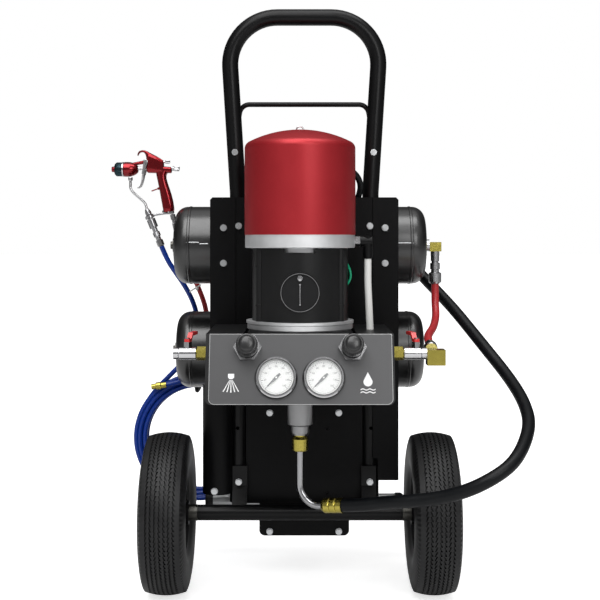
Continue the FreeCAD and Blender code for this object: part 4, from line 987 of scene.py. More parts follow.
@dataclass
class Panel:
    """Leaning panel with two regulators and two gauges."""

    nodes: dict[str, bpy.types.Object]
    lean: float = math.radians(16.5)
    top_back: float = -175.0
    top_height: float = 433.8
    gauge_x: float = 34.7
    gauge_down: float = 65.5
    regulator_x: float = 77.0
    regulator_down: float = 21.5
    sweep: float = 270.0
    start: float = 225.0
    scale_steps: int = 8
    scale_unit: int = 20
    mark_depth: float = 0.00015
    plate_sides: tuple[float, float] = (-133.0, 135.4)
    plate_slope: float = 104.6
    plate_corner: float = 8.5

    def face(self, x: float, down: float, out: float = 0.0) -> Matrix:
        """A local frame on the panel's face.

        Args:
            x: Millimetres right of its middle.
            down: Millimetres down its slope.
            out: Millimetres off its face.

        Returns:
            The frame: X right, Y up the slope, Z out of the face.
        """
        sine, cosine = math.sin(self.lean), math.cos(self.lean)
        spot = at(x, self.top_back - down * sine - out * cosine,
                  self.top_height - down * cosine + out * sine)
        return stand(spot, Vector((0, -cosine, sine)))

    def build(self) -> None:
        """Dresses the panel and builds knobs, dials and marks."""
        dress(self.nodes, Finish.PANEL_BLACK, "panel_box")
        dress(self.nodes, Finish.PLATED, "regulator_bodies", "gauge_cases")
        self.gauge_seats()
        dress(self.nodes, Finish.DIAL, "gauge_dials")
        dress(self.nodes, Finish.LENS, "gauge_lenses")
        dress(self.nodes, Finish.INK, "needle_left", "needle_right")
        for side, way in (("left", -1), ("right", 1)):
            self.knob(side, way)
            self.dial(side, way)
        self.front_plate()
        self.air_mark()
        self.fluid_mark()

    def gauge_seats(self) -> None:
        """Gives the seat inside each gauge's rim the dial's white and its wall a dark gasket."""
        mesh = self.nodes["gauge_cases"].data
        mesh.materials.append(Finish.DIAL.material)
        mesh.materials.append(Finish.INK.material)
        to_frame = self.nodes["gauge_cases"].matrix_world
        for way in (-1, 1):
            to_face = self.face(way * self.gauge_x, self.gauge_down).inverted() @ to_frame
            for polygon in mesh.polygons:
                spot = to_face @ polygon.center
                wide = math.hypot(spot.x, spot.y)
                if wide < 0.0262 and 0.0052 < spot.z < 0.0060:
                    polygon.material_index = 1
                elif 0.0262 <= wide < 0.0269 and 0.0052 < spot.z < 0.0089:
                    polygon.material_index = 2

    def plate_outline(self, inset: float) -> list[Corner]:
        """The front plate's edge, square at the top and rounded at the foot.

        Args:
            inset: Millimetres inside the edge.

        Returns:
            Its corners, in metres on the panel's face from the top of its middle.
        """
        left, right = self.plate_sides[0] + inset, self.plate_sides[1] - inset
        foot, corner = -self.plate_slope + inset, self.plate_corner - inset
        edge = [(right, -0.3 - inset), (left, -0.3 - inset)]
        for middle, start in ((left + corner, 180), (right - corner, 270)):
            edge += arc((middle, foot + corner), corner, start, 90, 8)
        return [(x / 1000, y / 1000) for x, y in edge]

    def front_plate(self) -> None:
        """The grey front plate with its four openings, and its light edge."""
        place = self.face(0, 0, -1.4)
        mesh = bmesh.new()
        loops = [self.plate_outline(0.0)]
        for x, down, radius in ((self.gauge_x, self.gauge_down, 27.0),
                                (self.regulator_x, self.regulator_down, 10.4)):
            loops += [arc((way * x / 1000, -down / 1000), radius / 1000, 0, 360, 48)[:-1]
                      for way in (-1, 1)]
        for loop in loops:
            corners = [mesh.verts.new((x, y, 0)) for x, y in loop]
            for index, corner in enumerate(corners):
                mesh.edges.new((corner, corners[(index + 1) % len(corners)]))
        bmesh.ops.triangle_fill(mesh, use_beauty=True, edges=mesh.edges[:])
        raised = bmesh.ops.extrude_face_region(mesh, geom=mesh.faces[:])
        bmesh.ops.translate(mesh, vec=(0, 0, 0.00149), verts=[
            v for v in raised["geom"] if isinstance(v, bmesh.types.BMVert)])
        mesh.transform(place)
        piece("front_plate", mesh, Finish.PANEL_GREY, "cart", 20.0)
        frame = bmesh.new()
        rings = []
        for inset, lift in ((0.0, -0.0002), (0.0, 0.00012), (0.65, 0.00012), (0.65, -0.0002)):
            rings.append([frame.verts.new((x, y, lift)) for x, y in self.plate_outline(inset)])
        skin(frame, [*rings, rings[0]])
        frame.transform(self.face(0, 0, 0))
        piece("plate_edge", frame, Finish.PLATE_EDGE, "cart", 20.0)

    def knob(self, side: str, way: int) -> None:
        """A fluted regulator knob with a ring and a low dome on its end.

        Args:
            side: left or right.
            way: -1 or 1.
        """
        profile = [(0.00806, 0.0122), (0.0152, 0.0122), (0.0160, 0.0130), (0.0162, 0.0160),
                   (0.0161, 0.0240), (0.0158, 0.0310), (0.0152, 0.0340), (0.0146, 0.0353),
                   (0.0136, 0.0360), (0.0126, 0.0360), (0.0121, 0.0354), (0.0116, 0.0354),
                   (0.0108, 0.0366), (0.0092, 0.0376), (0.0062, 0.0384), (0.0, 0.0388)]

        def flute(turn: float, number: int, radius: float) -> float:
            """Shallow flutes round the knob's side."""
            deep = 0.0005 if 2 <= number <= 6 else 0.0
            return radius - deep * (0.5 + 0.5 * math.cos(turn * 30)) ** 3

        place = self.face(way * self.regulator_x, self.regulator_down)
        bore = [(0.00806, 0.0122), (0.00806, 0.0243), (0.0, 0.0243)]
        whole = merged(revolved(profile, place, 240, flute), revolved(bore, place, 240))
        bmesh.ops.remove_doubles(whole, verts=whole.verts, dist=1e-7)
        knob = piece(f"fluted_knob_{side}", whole, Finish.KNOB, f"regulator_knob_{side}",
                     40.0)
        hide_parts(f"knob_{side}")

    def dial(self, side: str, way: int) -> None:
        """Scale marks and plain numbers on a gauge, and a black ring round its foot that stands in for the
        shadow there as painted shade.

        Args:
            side: left or right.
            way: -1 or 1.
        """
        place = self.face(way * self.gauge_x, self.gauge_down, 2.02)
        marks = []
        for step in range(33):
            turn = math.radians(self.start - self.sweep * step / 32)
            long_mark = step % 4 == 0
            r_out, r_in = 0.0226, 0.0196 if long_mark else 0.0212
            half = 0.00034 if long_mark else 0.00018
            along = Vector((math.cos(turn), math.sin(turn), 0))
            cross = Vector((-along.y, along.x, 0))
            corners = [along * r_in - cross * half, along * r_out - cross * half,
                       along * r_out + cross * half, along * r_in + cross * half]
            marks.append(sheet_metal([(c.x, c.y) for c in corners], 0.00012, place))
        ring = revolved(hoop(0.0229, 0.0232, 0, 0.00012), place, 96)
        gasket = revolved(hoop(0.0257, 0.02665, 0.0060, 0.0066), place, 96)
        # A black rubber ring round the case's foot, put there as painted shade for the shadow under the
        # gauge.
        foot = revolved([(0.0303, 0.0), (0.0311, 0.0), (0.0311, 0.0016), (0.0303, 0.0021),
                         (0.0303, 0.0)], self.face(way * self.gauge_x, self.gauge_down, 0.12), 96)
        piece(f"gauge_shade_ring_{side}", foot, Finish.RUBBER, "cart")
        piece(f"dial_scale_{side}", merged(*marks, ring, gasket), Finish.INK, "cart")
        for index in range(self.scale_steps + 1):
            turn = math.radians(self.start - self.sweep * index / self.scale_steps)
            data = bpy.data.curves.new(f"dial_number_{side}_{index}", "FONT")
            data.body = str(index * self.scale_unit)
            data.size = 0.0040
            data.align_x, data.align_y = "CENTER", "CENTER"
            data.extrude = 0.00004
            data.materials.append(Finish.INK.material)
            number = bpy.data.objects.new(data.name, data)
            bpy.context.scene.collection.objects.link(number)
            number.matrix_world = place @ Matrix.Translation(
                (0.0166 * math.cos(turn), 0.0166 * math.sin(turn), 0.00005))
            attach(number, "cart")

    def air_mark(self) -> None:
        """A plain mark of a nozzle and its fan, for the atomising air."""
        place = self.face(-100.5, 72, 0.1)
        nozzle = [(-0.0045, 0.0125), (0.0045, 0.0125), (0.0045, 0.0070), (0.0022, 0.0046),
                  (-0.0022, 0.0046), (-0.0045, 0.0070)]
        parts = [sheet_metal(nozzle, self.mark_depth, place)]
        for lean in (-0.95, -0.48, 0.0, 0.48, 0.95):
            top, low, foot = lean * 0.0022, lean * 0.0118, -0.0150 + abs(lean) * 0.0014
            parts.append(sheet_metal([(top - 0.0004, 0.0030), (top + 0.0004, 0.0030),
                                      (low + 0.0009, foot), (low - 0.0009, foot)],
                                     self.mark_depth, place))
        piece("air_mark", merged(*parts), Finish.MARK_WHITE, "cart")

    def fluid_mark(self) -> None:
        """A plain drop over two waves, for the fluid pressure."""
        place = self.face(99, 72, 0.1)
        drop = [(0.0, 0.0150), *arc((0.0, 0.0006), 0.0066, 30, -240, 24)]
        parts = [sheet_metal(drop, self.mark_depth, place)]
        for height in (-0.0098, -0.0140):
            upper = [(x / 1000, height + 0.0009 * math.sin(x * 0.62)) for x in range(-11, 12)]
            lower = [(x, y - 0.0014) for x, y in reversed(upper)]
            parts.append(sheet_metal(upper + lower, self.mark_depth, place))
        piece("fluid_mark", merged(*parts), Finish.MARK_WHITE, "cart")


# ---------------------------------------------------------------- valves and fittings


@dataclass
class Plumbing:
    """Ball valves, brass and steel fittings."""

    nodes: dict[str, bpy.types.Object]

    def build(self) -> None:
        """Dresses the valves and fittings."""
        dress(self.nodes, Finish.PLATED, "valve_body_left", "valve_body_right")
        dress(self.nodes, Finish.LEVER_RED, "lever_left", "lever_right")
        dress(self.nodes, Finish.BRASS, "brass_fittings", "siphon_fittings")
        dress(self.nodes, Finish.STEEL, "steel_fittings", "siphon_pickup")
        dress(self.nodes, Finish.GUN_STEEL, "siphon_tube")
        self.tank_plugs()

    def tank_plugs(self) -> None:
        """Blackens the plugs in the tanks' ends."""
        node = self.nodes["steel_fittings"]
        node.data.materials.append(Finish.DARK_STEEL.material)
        for polygon in node.data.polygons:
            spot = node.matrix_world @ polygon.center
            if spot.x < -0.2 and spot.y > 0.05:
                polygon.material_index = 1


# ---------------------------------------------------------------- the hoses


@dataclass
class Hoses:
    """Every free hose, on the same route as its solid."""

    gun_pieces: Sequence[bpy.types.Object]
    coil_centre: Point = (-187.0, 246.0, 210.0)
    turns: int = 6
    turn_points: int = 14
    coil_start: float = math.radians(112)
    coil_radii: tuple[float, ...] = (117.0, 107.0, 97.5, 99.0, 108.5, 116.5, 113.0)
    coil_depths: tuple[float, ...] = (5.2, 6.0, 5.0, -5.0, -6.0, -5.2, -12.0)

    def build(self) -> None:
        """Builds the hoses and their ties."""
        self.siphon_hose()
        self.jumper_hose()
        self.signal_hose()
        self.gun_hose()
        self.gun_air_hose()

    def siphon_hose(self) -> None:
        """Suction hose: round the right wheel and behind the upper tank to its pickup tube."""
        out = (math.cos(math.radians(25)), -math.sin(math.radians(25)))
        reach = 72.1
        points = route(
            (reach * out[0], -90 + reach * out[1], 168.2),
            (92, -132.9, 171.2), (122, -146, 178), (148, -161, 183), (195, -182, 191),
            (237, -203, 206), (273, -213, 225), (307, -203, 245), (331, -170, 267),
            (350, -120, 292), (352, -73, 314), (346, -27, 335), (333, 17, 359),
            (312, 56, 389), (292, 95, 418), (270, 134, 449), (246, 170, 478),
            (218, 198, 509), (188, 213, 545), (155, 219, 578), (118, 222, 600),
            (75, 225, 608), (33, 228, 602), (-2, 232, 580), (-24, 236, 550),
            (-31, 238, 514), (-31, 238, 480))
        hose = line("suction_hose", points, 0.010, Finish.HOSE_BLACK, "cart", 12)
        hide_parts("siphon_hose")

    def jumper_hose(self) -> None:
        """Red hose from the upper tank's outlet to the right ball valve."""
        points = route(
            (233, 115, 496.9), (233, 115, 466), (233, 100, 444), (227, 70, 431),
            (219, 32, 425), (209, -10, 421), (201.5, -50.97, 416.64),
            (201.5, -82.18, 410.01))
        hose = line("outlet_hose", points, 0.0065, Finish.HOSE_RED, "cart", 10)
        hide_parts("jumper_hose")

    def signal_hose(self) -> None:
        """Small black hose from the air motor round to the back of the plate."""
        points = route(
            (60, -27.5, 690), (77, -12, 688), (93, 0, 677), (100, 11, 661), (97, 23, 645),
            (89, 32, 626), (83, 37, 604), (80, 42, 582))
        hose = line("exhaust_hose", points, 0.005, Finish.HOSE_BLACK, "cart", 8)
        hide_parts("signal_hose")

    def coil_point(self, turns: float) -> Point:
        """Where the hose lies in its coil.

        Args:
            turns: How many turns from the coupling's end.

        Returns:
            The place, in millimetres from the axle's plumb line.
        """
        angle = self.coil_start + math.tau * turns
        whole = int(turns)
        part = turns - whole
        change = part * part * (3 - 2 * part)
        radii, depths = self.coil_radii, self.coil_depths
        after = min(whole + 1, len(radii) - 1)
        radius = radii[whole] + (radii[after] - radii[whole]) * change
        depth = depths[whole] + (depths[after] - depths[whole]) * change
        sway = 2.0 * math.sin(angle * 2 + whole * 1.7) * max(0.0, -math.sin(angle))
        radius += sway
        x, y, z = self.coil_centre
        return (x + radius * math.cos(angle), y + depth, z + radius * math.sin(angle))

    def gun_hose(self) -> None:
        """Blue fluid hose: from the brass coupling round its coil and up to the gun."""
        tilt = SprayGun.hose_tilt
        x, y, z = SprayGun.pin_at
        right, up = SprayGun.hose_foot
        gap = 0.1
        start = (x + right + gap * math.sin(tilt), y, z + up - gap * math.cos(tilt))
        drop = [start, (-240, 200.5, 538), (-226, 203, 516), (-211, 208, 494),
                (-198, 215, 470), (-189, 225, 443), (-186, 236, 414), (-192, 245, 385),
                (-207, 249, 356), (-224, 251, 338)]
        coil = [self.coil_point(step / self.turn_points)
                for step in range(1, self.turns * self.turn_points)]
        tail = [(-229.0, 229.5, 311.0), (-244, 227.6, 308)]
        points = route(*drop, *coil, *tail)
        points.reverse()
        hose = line("spray_hose", points, 0.0045, Finish.HOSE_BLUE, "cart", 8)
        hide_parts("gun_hose", "gun_hose_coil")
        self.tie("hose_tie_low", at(-187, 238, 311), 11, 15, 0.25)

    def gun_air_hose(self) -> None:
        """Red air hose from the lower tank's port to the gun's handle."""
        points = route(
            (-223.3, 200, 590.7), (-216.6, 200.5, 561.5), (-204, 204, 532), (-191, 210, 502),
            (-179, 219, 473), (-170, 228, 442), (-165, 231.5, 394.6))
        hose = line("gun_air_line", points, 0.0045, Finish.HOSE_RED, "cart", 8)
        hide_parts("gun_air_hose")
        self.tie("hose_tie_high", at(-192.5, 216, 483), 15, 6.5, -0.55)

    def tie(self, name: str, middle: Vector, half: float, deep: float,
            tilt: float) -> bpy.types.Object:
        """A white cable tie drawn round a bundle.

        Args:
            name: The piece's name.
            middle: The bundle's middle.
            half: Half its width across, in millimetres.
            deep: Half its depth, in millimetres.
            tilt: How far the band leans, in radians.

        Returns:
            The tie.
        """
        mesh = bmesh.new()
        rings = []
        steps = 40
        turn = Matrix.Rotation(tilt, 4, "Y")
        for step in range(steps):
            angle = math.tau * step / steps
            cosine, sine = math.cos(angle), math.sin(angle)
            grow = (abs(cosine) ** 2.6 + abs(sine) ** 2.6) ** (-1 / 2.6)
            ring = []
            for thick, lift in hoop(0.0, 0.0009, -0.0013, 0.0013)[:-1]:
                spot = Vector(((half / 1000 + thick) * grow * cosine,
                               (deep / 1000 + thick) * grow * sine, lift))
                ring.append(mesh.verts.new(middle + (turn @ spot)))
            rings.append(ring)
        skin(mesh, [*rings, rings[0]])
        head = sheet_metal([(-0.0024, -0.002), (0.0024, -0.002), (0.0024, 0.002),
                            (-0.0024, 0.002)], 0.0036,
                           stand(middle + Vector((half / 1000 * 0.4, -deep / 1000, 0)),
                                 Vector((0.2, -1, 0))), 0.0004)
        return piece(name, merged(mesh, head), Finish.TIE_WHITE, "cart")


# ---------------------------------------------------------------- the spray gun


@dataclass
class SprayGun:
    """The gun on the end of its hoses; its sizes are millimetres from the trigger's pin."""

    pin_at: Point = (-277.6, 200.0, 710.6)
    hose_foot: tuple[float, float] = (28.3, -149.4)
    hose_tilt: float = math.radians(21.8)
    strap_lean: float = math.radians(13)
    bore_down: float = 11.5
    nose: float = -39.0
    cheek_out: float = 10.75
    spine: tuple[Station, ...] = (
        Station(-14.0, 13.0, 0.8, 2.2, 2.5), Station(-13.8, 14.6, 1.2, 3.2, 2.5),
        Station(-12.9, 17.2, 1.5, 3.8, 2.6), Station(-10.3, 20.0, 1.8, 4.4, 2.8),
        Station(-6.4, 21.2, 1.8, 5.0, 3.0), Station(-2.0, 20.6, 2.2, 5.8, 3.2),
        Station(2.2, 17.6, 3.6, 6.8, 3.4), Station(5.2, 13.4, 4.8, 7.4, 3.6),
        Station(6.6, 9.0, 5.0, 7.6, 3.8))
    block: tuple[Station, ...] = (
        Station(1.6, -1.4, 12.6, 6.6, 5.0), Station(2.4, -1.0, 14.8, 8.0, 5.0),
        Station(4.6, 0.6, 18.4, 8.7, 4.2), Station(8.0, 0.1, 18.2, 8.8, 4.0),
        Station(13.0, -1.3, 16.9, 8.8, 4.0), Station(19.3, -3.0, 15.4, 8.8, 4.4),
        Station(26.0, -5.0, 13.4, 8.7, 5.0), Station(31.0, -6.8, 11.8, 8.5, 5.5),
        Station(32.3, -7.2, 10.6, 7.4, 5.5))
    barrel: tuple[Station, ...] = (
        Station(26.0, -12.2, 6.0, 7.6, 3.0), Station(36.0, -12.4, 6.1, 7.6, 3.0),
        Station(45.4, -12.8, 5.5, 7.0, 3.0), Station(46.6, -12.8, 4.6, 6.0, 3.0))
    grip: tuple[Station, ...] = (
        Station(29.5, -13.0, 12.0, 7.8, 3.2), Station(28.6, -18.6, 9.9, 8.3, 3.0),
        Station(28.4, -23.0, 8.8, 8.5, 2.8), Station(29.2, -29.0, 8.2, 8.6, 2.7),
        Station(31.3, -38.0, 8.4, 8.7, 2.7), Station(34.3, -49.0, 9.2, 8.8, 2.7),
        Station(37.0, -60.0, 10.0, 8.8, 2.7), Station(39.2, -70.0, 10.3, 8.7, 2.8),
        Station(40.9, -80.0, 10.2, 8.5, 3.0), Station(41.6, -85.8, 9.9, 8.2, 3.2),
        Station(41.8, -87.6, 9.0, 7.4, 3.2))
    bridge: tuple[Station, ...] = (
        Station(-27.0, -2.8, 2.7, 4.0, 2.4), Station(-19.4, -1.6, 2.9, 4.2, 2.4),
        Station(-8.0, 0.5, 3.1, 4.4, 2.4), Station(2.3, 2.4, 3.5, 4.6, 2.4),
        Station(6.0, 3.0, 3.6, 4.6, 2.4))
    cheek: tuple[Station, ...] = (
        Station(1.0, 6.0, 1.8, 0.9, 2.6), Station(1.0, 5.2, 3.1, 1.1, 3.4),
        Station(0.9, 3.0, 3.9, 1.1, 4.0), Station(0.4, -2.0, 3.8, 1.1, 4.0),
        Station(-1.2, -9.0, 3.0, 1.1, 4.0), Station(-2.8, -16.0, 2.6, 1.1, 4.0),
        Station(-3.8, -20.5, 2.4, 1.1, 4.0))
    blade: tuple[Station, ...] = (
        Station(-3.0, -19.2, 1.7, 11.8, 4.0), Station(-3.9, -22.5, 2.0, 11.6, 3.6),
        Station(-5.0, -30.0, 1.9, 9.4, 3.0), Station(-6.6, -37.0, 1.7, 8.2, 3.0),
        Station(-8.8, -42.2, 1.5, 7.6, 3.0), Station(-11.8, -44.4, 1.1, 7.2, 3.0),
        Station(-14.6, -45.0, 0.8, 6.6, 3.0))
    strap: tuple[Station, ...] = (
        Station(10.0, -94.6, 1.7, 3.6), Station(18.0, -93.4, 1.8, 3.8),
        Station(26.0, -91.9, 1.8, 3.9), Station(36.0, -90.7, 1.8, 3.9),
        Station(46.0, -90.5, 1.8, 3.9), Station(50.4, -90.9, 1.6, 3.4))

    @property
    def middle(self) -> Vector:
        """The trigger pin's middle, in the frame."""
        return at(*self.pin_at)

    def spot(self, x: float, z: float, y: float = 0.0) -> Vector:
        """A place on the gun, given in millimetres from the trigger's pin."""
        return self.middle + Vector((x, y, z)) / 1000

    def build(self) -> list[bpy.types.Object]:
        """Builds the gun.

        Returns:
            The pieces that join it to the fluid hose.
        """
        self.body()
        self.front_end()
        self.trigger()
        self.knobs()
        return self.pipework()

    def body(self) -> None:
        """The red casting: hook, block, grip, bridge, faceted head and guard pin."""
        head = revolved([(0, 0), (0.0126, 0), (0.0133, 0.0008), (0.0134, 0.0080),
                         (0.0127, 0.0130), (0.0112, 0.0178), (0.0090, 0.0218),
                         (0.0066, 0.0246), (0.0052, 0.0254), (0, 0.0254)],
                        stand(self.spot(self.nose, -self.bore_down), Vector((1, 0, 0)),
                              Vector((0, 0, 1))), 20)
        loops = [lofted(shape, self.middle) for shape in (self.grip, self.spine, self.bridge)]
        loops += [lofted(shape, self.middle, 32, True) for shape in (self.block, self.barrel)]
        pin = lofted([Station(10.2, -50.6, 0.6, 0.6, 2), Station(10.8, -50.4, 1.1, 1.1, 2),
                      Station(25.0, -45.3, 1.1, 1.1, 2), Station(28.0, -44.2, 1.1, 1.1, 2)],
                     self.middle, 16)
        boss = revolved([(0, 0), (0.0019, 0), (0.0023, 0.0006), (0.0023, 0.0034), (0, 0.004)],
                        stand(self.spot(21.6, -46.6), Vector((0.94, 0, 0.34))), 24)
        casting = piece("gun_casting", merged(*loops, head, pin, boss), Finish.GUN_RED, "cart",
                        30.0)
        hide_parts("gun_body")
        across = stand(self.spot(0, 0, -14.3), Vector((0, 1, 0)))
        screw = revolved([(0, 0.0008), (0.0011, 0.0008), (0.0011, 0), (0.0026, 0),
                          (0.0032, 0.0007), (0.0032, 0.0021), (0.0019, 0.0022),
                          (0.0019, 0.0264), (0.0032, 0.0265), (0.0032, 0.0279),
                          (0.0026, 0.0286), (0, 0.0286)], across, 32)
        needle = revolved([(0, 0), (0.0030, 0), (0.0030, 0.0060), (0.0024, 0.0066),
                           (0.0024, 0.0110), (0.0032, 0.0116), (0.0032, 0.0170), (0, 0.0170)],
                          stand(self.spot(-14.5, -self.bore_down + 1.5), Vector((1, 0, 0))), 32)
        piece("trigger_screw", screw, Finish.GUN_CHROME, "cart")
        piece("needle_packing", needle, Finish.GUN_CHROME, "cart")

    def front_end(self) -> None:
        """The ribbed air cap, its bright ring and its red tip."""
        front = stand(self.spot(self.nose - 0.2, -self.bore_down), Vector((-1, 0, 0)))

        def rib(turn: float, number: int, radius: float) -> float:
            """Ribs round the cap's grip band."""
            return radius - (0.0007 if 1 <= number <= 4 and math.cos(turn * 26) < 0 else 0.0)

        cap = revolved([(0, 0.0032), (0.0119, 0.0032), (0.0126, 0.0040), (0.0126, 0.0120),
                        (0.0119, 0.0136), (0.0096, 0.0160), (0.0070, 0.0168), (0, 0.0168)],
                       front, 208, rib)
        cap = piece("ribbed_air_cap", cap, Finish.GUN_GREY, "cart", 25.0)
        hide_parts("gun_air_cap")
        ring = revolved([(0, 0), (0.0124, 0), (0.0131, 0.0006), (0.0131, 0.0026),
                         (0.0124, 0.0032), (0, 0.0032)], front, 64)
        tip = revolved([(0, 0.0150), (0.0058, 0.0150), (0.0058, 0.0176), (0.0050, 0.0186),
                        (0.0050, 0.0208), (0.0044, 0.0218), (0.0016, 0.0222),
                        (0.0012, 0.0206), (0, 0.0206)], front, 40)
        piece("cap_ring", ring, Finish.PLATED, "cart")
        piece("cap_tip", tip, Finish.GUN_RED, "cart")

    def trigger(self) -> None:
        """The chrome trigger: two cheeks on the pin and a blade with a hooked tip."""
        sides = [lofted(self.cheek, self.spot(0, 0, way * self.cheek_out)) for way in (-1, 1)]
        lever = piece("hooked_trigger", merged(lofted(self.blade, self.middle), *sides),
                      Finish.GUN_CHROME, "trigger", 35.0)
        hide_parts("gun_trigger")

    def knobs(self) -> None:
        """The knurled air and fluid knobs."""

        def knurl(turn: float, number: int, radius: float) -> float:
            """Fine knurling round a knob."""
            return radius - (0.00025 * (1 + math.cos(turn * 22)) if 3 <= number <= 6 else 0.0)

        for name, node, start, profile in (
                ("air_screw", "gun_air_knob", (32.2, 2.0),
                 [(0, 0), (0.0022, 0), (0.0022, 0.0030), (0.0029, 0.0032), (0.0032, 0.0038),
                  (0.0032, 0.0102), (0.0029, 0.0110), (0.0018, 0.0116), (0, 0.0118)]),
                ("fluid_screw", "gun_fluid_knob", (47.2, -10.0),
                 [(0, 0), (0.0040, 0), (0.0040, 0.0034), (0.0045, 0.0040), (0.0048, 0.0048),
                  (0.0048, 0.0118), (0.0044, 0.0128), (0.0026, 0.0136), (0, 0.0138)])):
            knob = piece(name, revolved(profile, stand(self.spot(*start), Vector((1, 0, 0))),
                                        88, knurl),
                         Finish.GUN_CHROME, name.replace("screw", "knob"), 40.0)
            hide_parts(node)

    def pipework(self) -> list[bpy.types.Object]:
        """Fluid pipe, hose connectors, strap and the nuts under the grip."""
        bends = ((-27.5, -25.9), (-27.5, -38), (-27.5, -47), (-21.5, -54.5), (-9, -65),
                 (-1, -72.5), (1, -79), (2.0, -83.4))
        pipe = line("fluid_pipe", [self.spot(x, z) for x, z in bends], 0.0023, Finish.GUN_CHROME,
                    "cart", 8)

        def knurl(turn: float, number: int, radius: float) -> float:
            """Diamond-like knurling on every other corner ring."""
            return radius - 0.0003 * (1 + math.cos(turn * 30 + number * math.pi))

        lift = Vector((-math.sin(self.hose_tilt), 0, math.cos(self.hose_tilt)))
        foot = self.spot(*self.hose_foot)
        core = revolved([(0, 0), (0.0046, 0), (0.0046, 0.0600), (0.0055, 0.0610),
                         (0.0055, 0.0655), (0.0042, 0.0690), (0.0034, 0.0718), (0, 0.0718)],
                        stand(foot, lift), 48)
        parts = [core]
        for start, end, radius in ((0.0004, 0.0116, 0.0064), (0.0535, 0.0600, 0.0074)):
            parts.append(revolved(drum(start, end, radius, 0.0008, 0.0007),
                                  stand(foot, lift), 6))
        for start, end, radius in ((0.0185, 0.0270, 0.0064), (0.0355, 0.0520, 0.0078)):
            rows = [(radius, start + 0.0006 + (end - start - 0.0012) * step / 8)
                    for step in range(9)]
            parts.append(revolved([(0, start), (radius - 0.0006, start), *rows,
                                   (radius - 0.0006, end), (0, end)], stand(foot, lift), 120,
                                  knurl))
        clamp = revolved(hoop(0.0070, 0.0084, 0.0540, 0.0585), stand(foot, lift), 48)
        side = Vector((-math.sin(self.strap_lean), 0, math.cos(self.strap_lean)))
        tail = self.spot(54.3, -119.8)
        parts += [clamp, lofted(self.strap, self.middle)]
        for start, end, radius, steps in ((0.0, 0.0120, 0.0044, 6), (0.0120, 0.0185, 0.0034, 32),
                                          (0.0185, 0.0280, 0.0047, 6)):
            parts.append(revolved(drum(start, end, radius, 0.0004, 0.0005),
                                  stand(tail, side), steps))
        for x, z, radius in ((35.0, -89.2, 0.0052), (47.0, -90.4, 0.0046)):
            parts.append(revolved([(0, 0), (radius, 0), (radius, 0.0042), (0, 0.0042)],
                                  stand(self.spot(x, z), Vector((-0.15, 0, 1))), 6))
        connector = piece("hose_connectors", merged(*parts), Finish.GUN_STEEL, "cart",
                          25.0)
        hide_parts("gun_fluid_tube")
        nut = revolved(drum(0, 0.0058, 0.0040, 0.0004, 0.0006),
                       stand(self.spot(-27.5, -31.6), Vector((0, 0, 1))), 6)
        return [pipe, connector, piece("pipe_nut", nut, Finish.STEEL, "cart")]


# ---------------------------------------------------------------- studio


class Sky(Shader):
    """The world's own node tree."""

    def __init__(self, scene: bpy.types.Scene) -> None:
        """Makes a world and gives it to the scene.

        Args:
            scene: The scene that takes it.
        """
        world = bpy.data.worlds.new("studio")
        world.use_nodes = True
        self.tree = world.node_tree
        self.surface = next(n for n in self.tree.nodes if n.type == "BACKGROUND")
        self.surface.inputs["Color"].default_value = (1, 1, 1, 1)
        scene.world = world

    def path(self, ray: str) -> Signal:
        """1 for rays of one kind."""
        return self.node("ShaderNodeLightPath", output=ray)

    def way(self, letter: str) -> Signal:
        """One part of the direction that a ray looks in."""
        look = self.node("ShaderNodeTexCoord", output="Generated")
        return self.node("ShaderNodeSeparateXYZ", None, {0: look}, letter)

    def band(self, letter: str, middle: float, half: float) -> Signal:
        """A soft band across the directions.

        Args:
            letter: The part of the direction that it lies across.
            middle: Its middle.
            half: Half its width.

        Returns:
            1 in its middle, 0 outside it.
        """
        off = (self.way(letter) - middle) / half
        return (1.4 - off * off * 1.4).held()


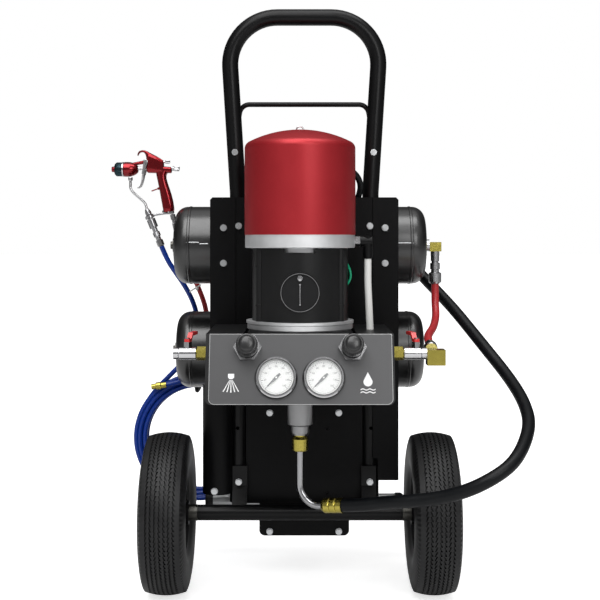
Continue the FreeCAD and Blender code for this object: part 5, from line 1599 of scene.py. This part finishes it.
@dataclass
class Studio:
    """Pale floor, soft lamps and the camera."""

    eye: Point = (0.0, -1.897, 0.572)
    lens: float = 69.0
    soft_light: float = 0.38
    dark_wall: float = 0.05
    front_wall: float = 0.27
    pane_glow: float = 0.5
    roof_from: float = 0.3
    crown_from: float = 0.7
    crown_glow: float = 0.75
    clear_floor: float = 0.8

    def build(self) -> None:
        """Sets up the floor, the world, the lamps and the camera."""
        scene = bpy.context.scene
        scene.view_settings.view_transform = "Standard"
        self.camera(scene)
        self.world(scene)
        self.floor()
        self.lamp("key", (-0.7, -2.3, 3.0), (2.0, 2.0), 58, (0, 0, 0.45))
        self.lamp("fill", (0.85, -2.4, 1.45), (0.9, 1.3), 17, (0, 0, 0.45))
        self.lamp("top", (0.1, -0.5, 3.0), (2.4, 1.2), 38, (0, 0, 0.5))

    def camera(self, scene: bpy.types.Scene) -> None:
        """The camera at the operator's side, level, with the frame shifted down.

        Args:
            scene: The scene that takes it.
        """
        data = bpy.data.cameras.new("camera")
        data.sensor_width = 36.0
        data.lens = self.lens
        data.shift_y = -0.1
        camera = bpy.data.objects.new("camera", data)
        camera.location = self.eye
        camera.rotation_euler = (math.radians(90), 0, 0)
        scene.collection.objects.link(camera)
        scene.camera = camera

    def world(self, scene: bpy.types.Scene) -> None:
        """White to the camera, a room with windows and a pale roof to gloss, soft grey light.

        Args:
            scene: The scene that takes it.
        """
        sky = Sky(scene)
        seen = (sky.path("Is Camera Ray") + sky.path("Is Transmission Ray")).held()
        gloss = sky.path("Is Glossy Ray")
        roof = ((sky.way("Z") - self.roof_from) * 3.0).held()
        front = (sky.way("Y") * -1.8 + 0.3).held()
        crown = ((sky.way("Z") - self.crown_from) * 4.0).held()
        panes = sky.band("X", -0.5, 0.24) * 0.6 + sky.band("X", 0.62, 0.14)
        lean = (sky.way("X") * 4.0 + 0.5).held()
        walls = self.dark_wall + front * (self.front_wall + panes * self.pane_glow)
        lit_roof = roof * (0.1 + front * (0.18 + lean * 0.5))
        room = walls * (1 - roof) + lit_roof + crown * self.crown_glow
        light = gloss * room + (1 - gloss) * self.soft_light
        sky.feed(sky.surface.inputs["Strength"], seen + (1 - seen) * light)

    def floor(self) -> None:
        """A pale floor that keeps the machine's shadow and goes white further out."""
        mesh = bmesh.new()
        bmesh.ops.create_grid(mesh, x_segments=1, y_segments=1, size=40.0)
        data = bpy.data.meshes.new("floor")
        mesh.to_mesh(data)
        mesh.free()
        floor = bpy.data.objects.new("floor", data)
        bpy.context.scene.collection.objects.link(floor)
        shader = Shader("floor white")
        seen = shader.node("ShaderNodeLightPath", output="Is Camera Ray")
        across, deep = shader.axis("X"), shader.axis("Y")
        far = (across * across + deep * deep) ** 0.5
        glow = seen * (((far - self.clear_floor) * 0.6).held() * 0.3 + 0.7)
        data.materials.append(shader.set(
            base_color=(0.9, 0.9, 0.9), roughness=0.9, emission_strength=1.0,
            emission_color=shader.blend(glow, (0, 0, 0), (1, 1, 1))))

    def lamp(self, name: str, spot: Point, size: tuple[float, float], watts: float,
             aim: Point) -> None:
        """A soft rectangular lamp.

        Args:
            name: Its name.
            spot: Where it stands.
            size: Width and height.
            watts: Its power.
            aim: The point it faces.
        """
        data = bpy.data.lights.new(name, "AREA")
        data.shape = "RECTANGLE"
        data.size, data.size_y = size
        data.energy = watts
        lamp = bpy.data.objects.new(name, data)
        lamp.location = spot
        lamp.rotation_euler = (Vector(aim) - Vector(spot)).to_track_quat("-Z", "Y").to_euler()
        bpy.context.scene.collection.objects.link(lamp)


def main() -> None:
    """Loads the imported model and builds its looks, piece by piece."""
    logging.basicConfig(level=logging.INFO, format="%(message)s")
    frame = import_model()
    nodes = frame["nodes"]
    Studio().build()
    gun = SprayGun().build()
    for part in (Hoses(gun), Cart(nodes), AirMotor(nodes), Panel(nodes), Plumbing(nodes)):
        LOG.info("building %s", type(part).__name__)
        part.build()


if __name__ == "__main__":
    main()
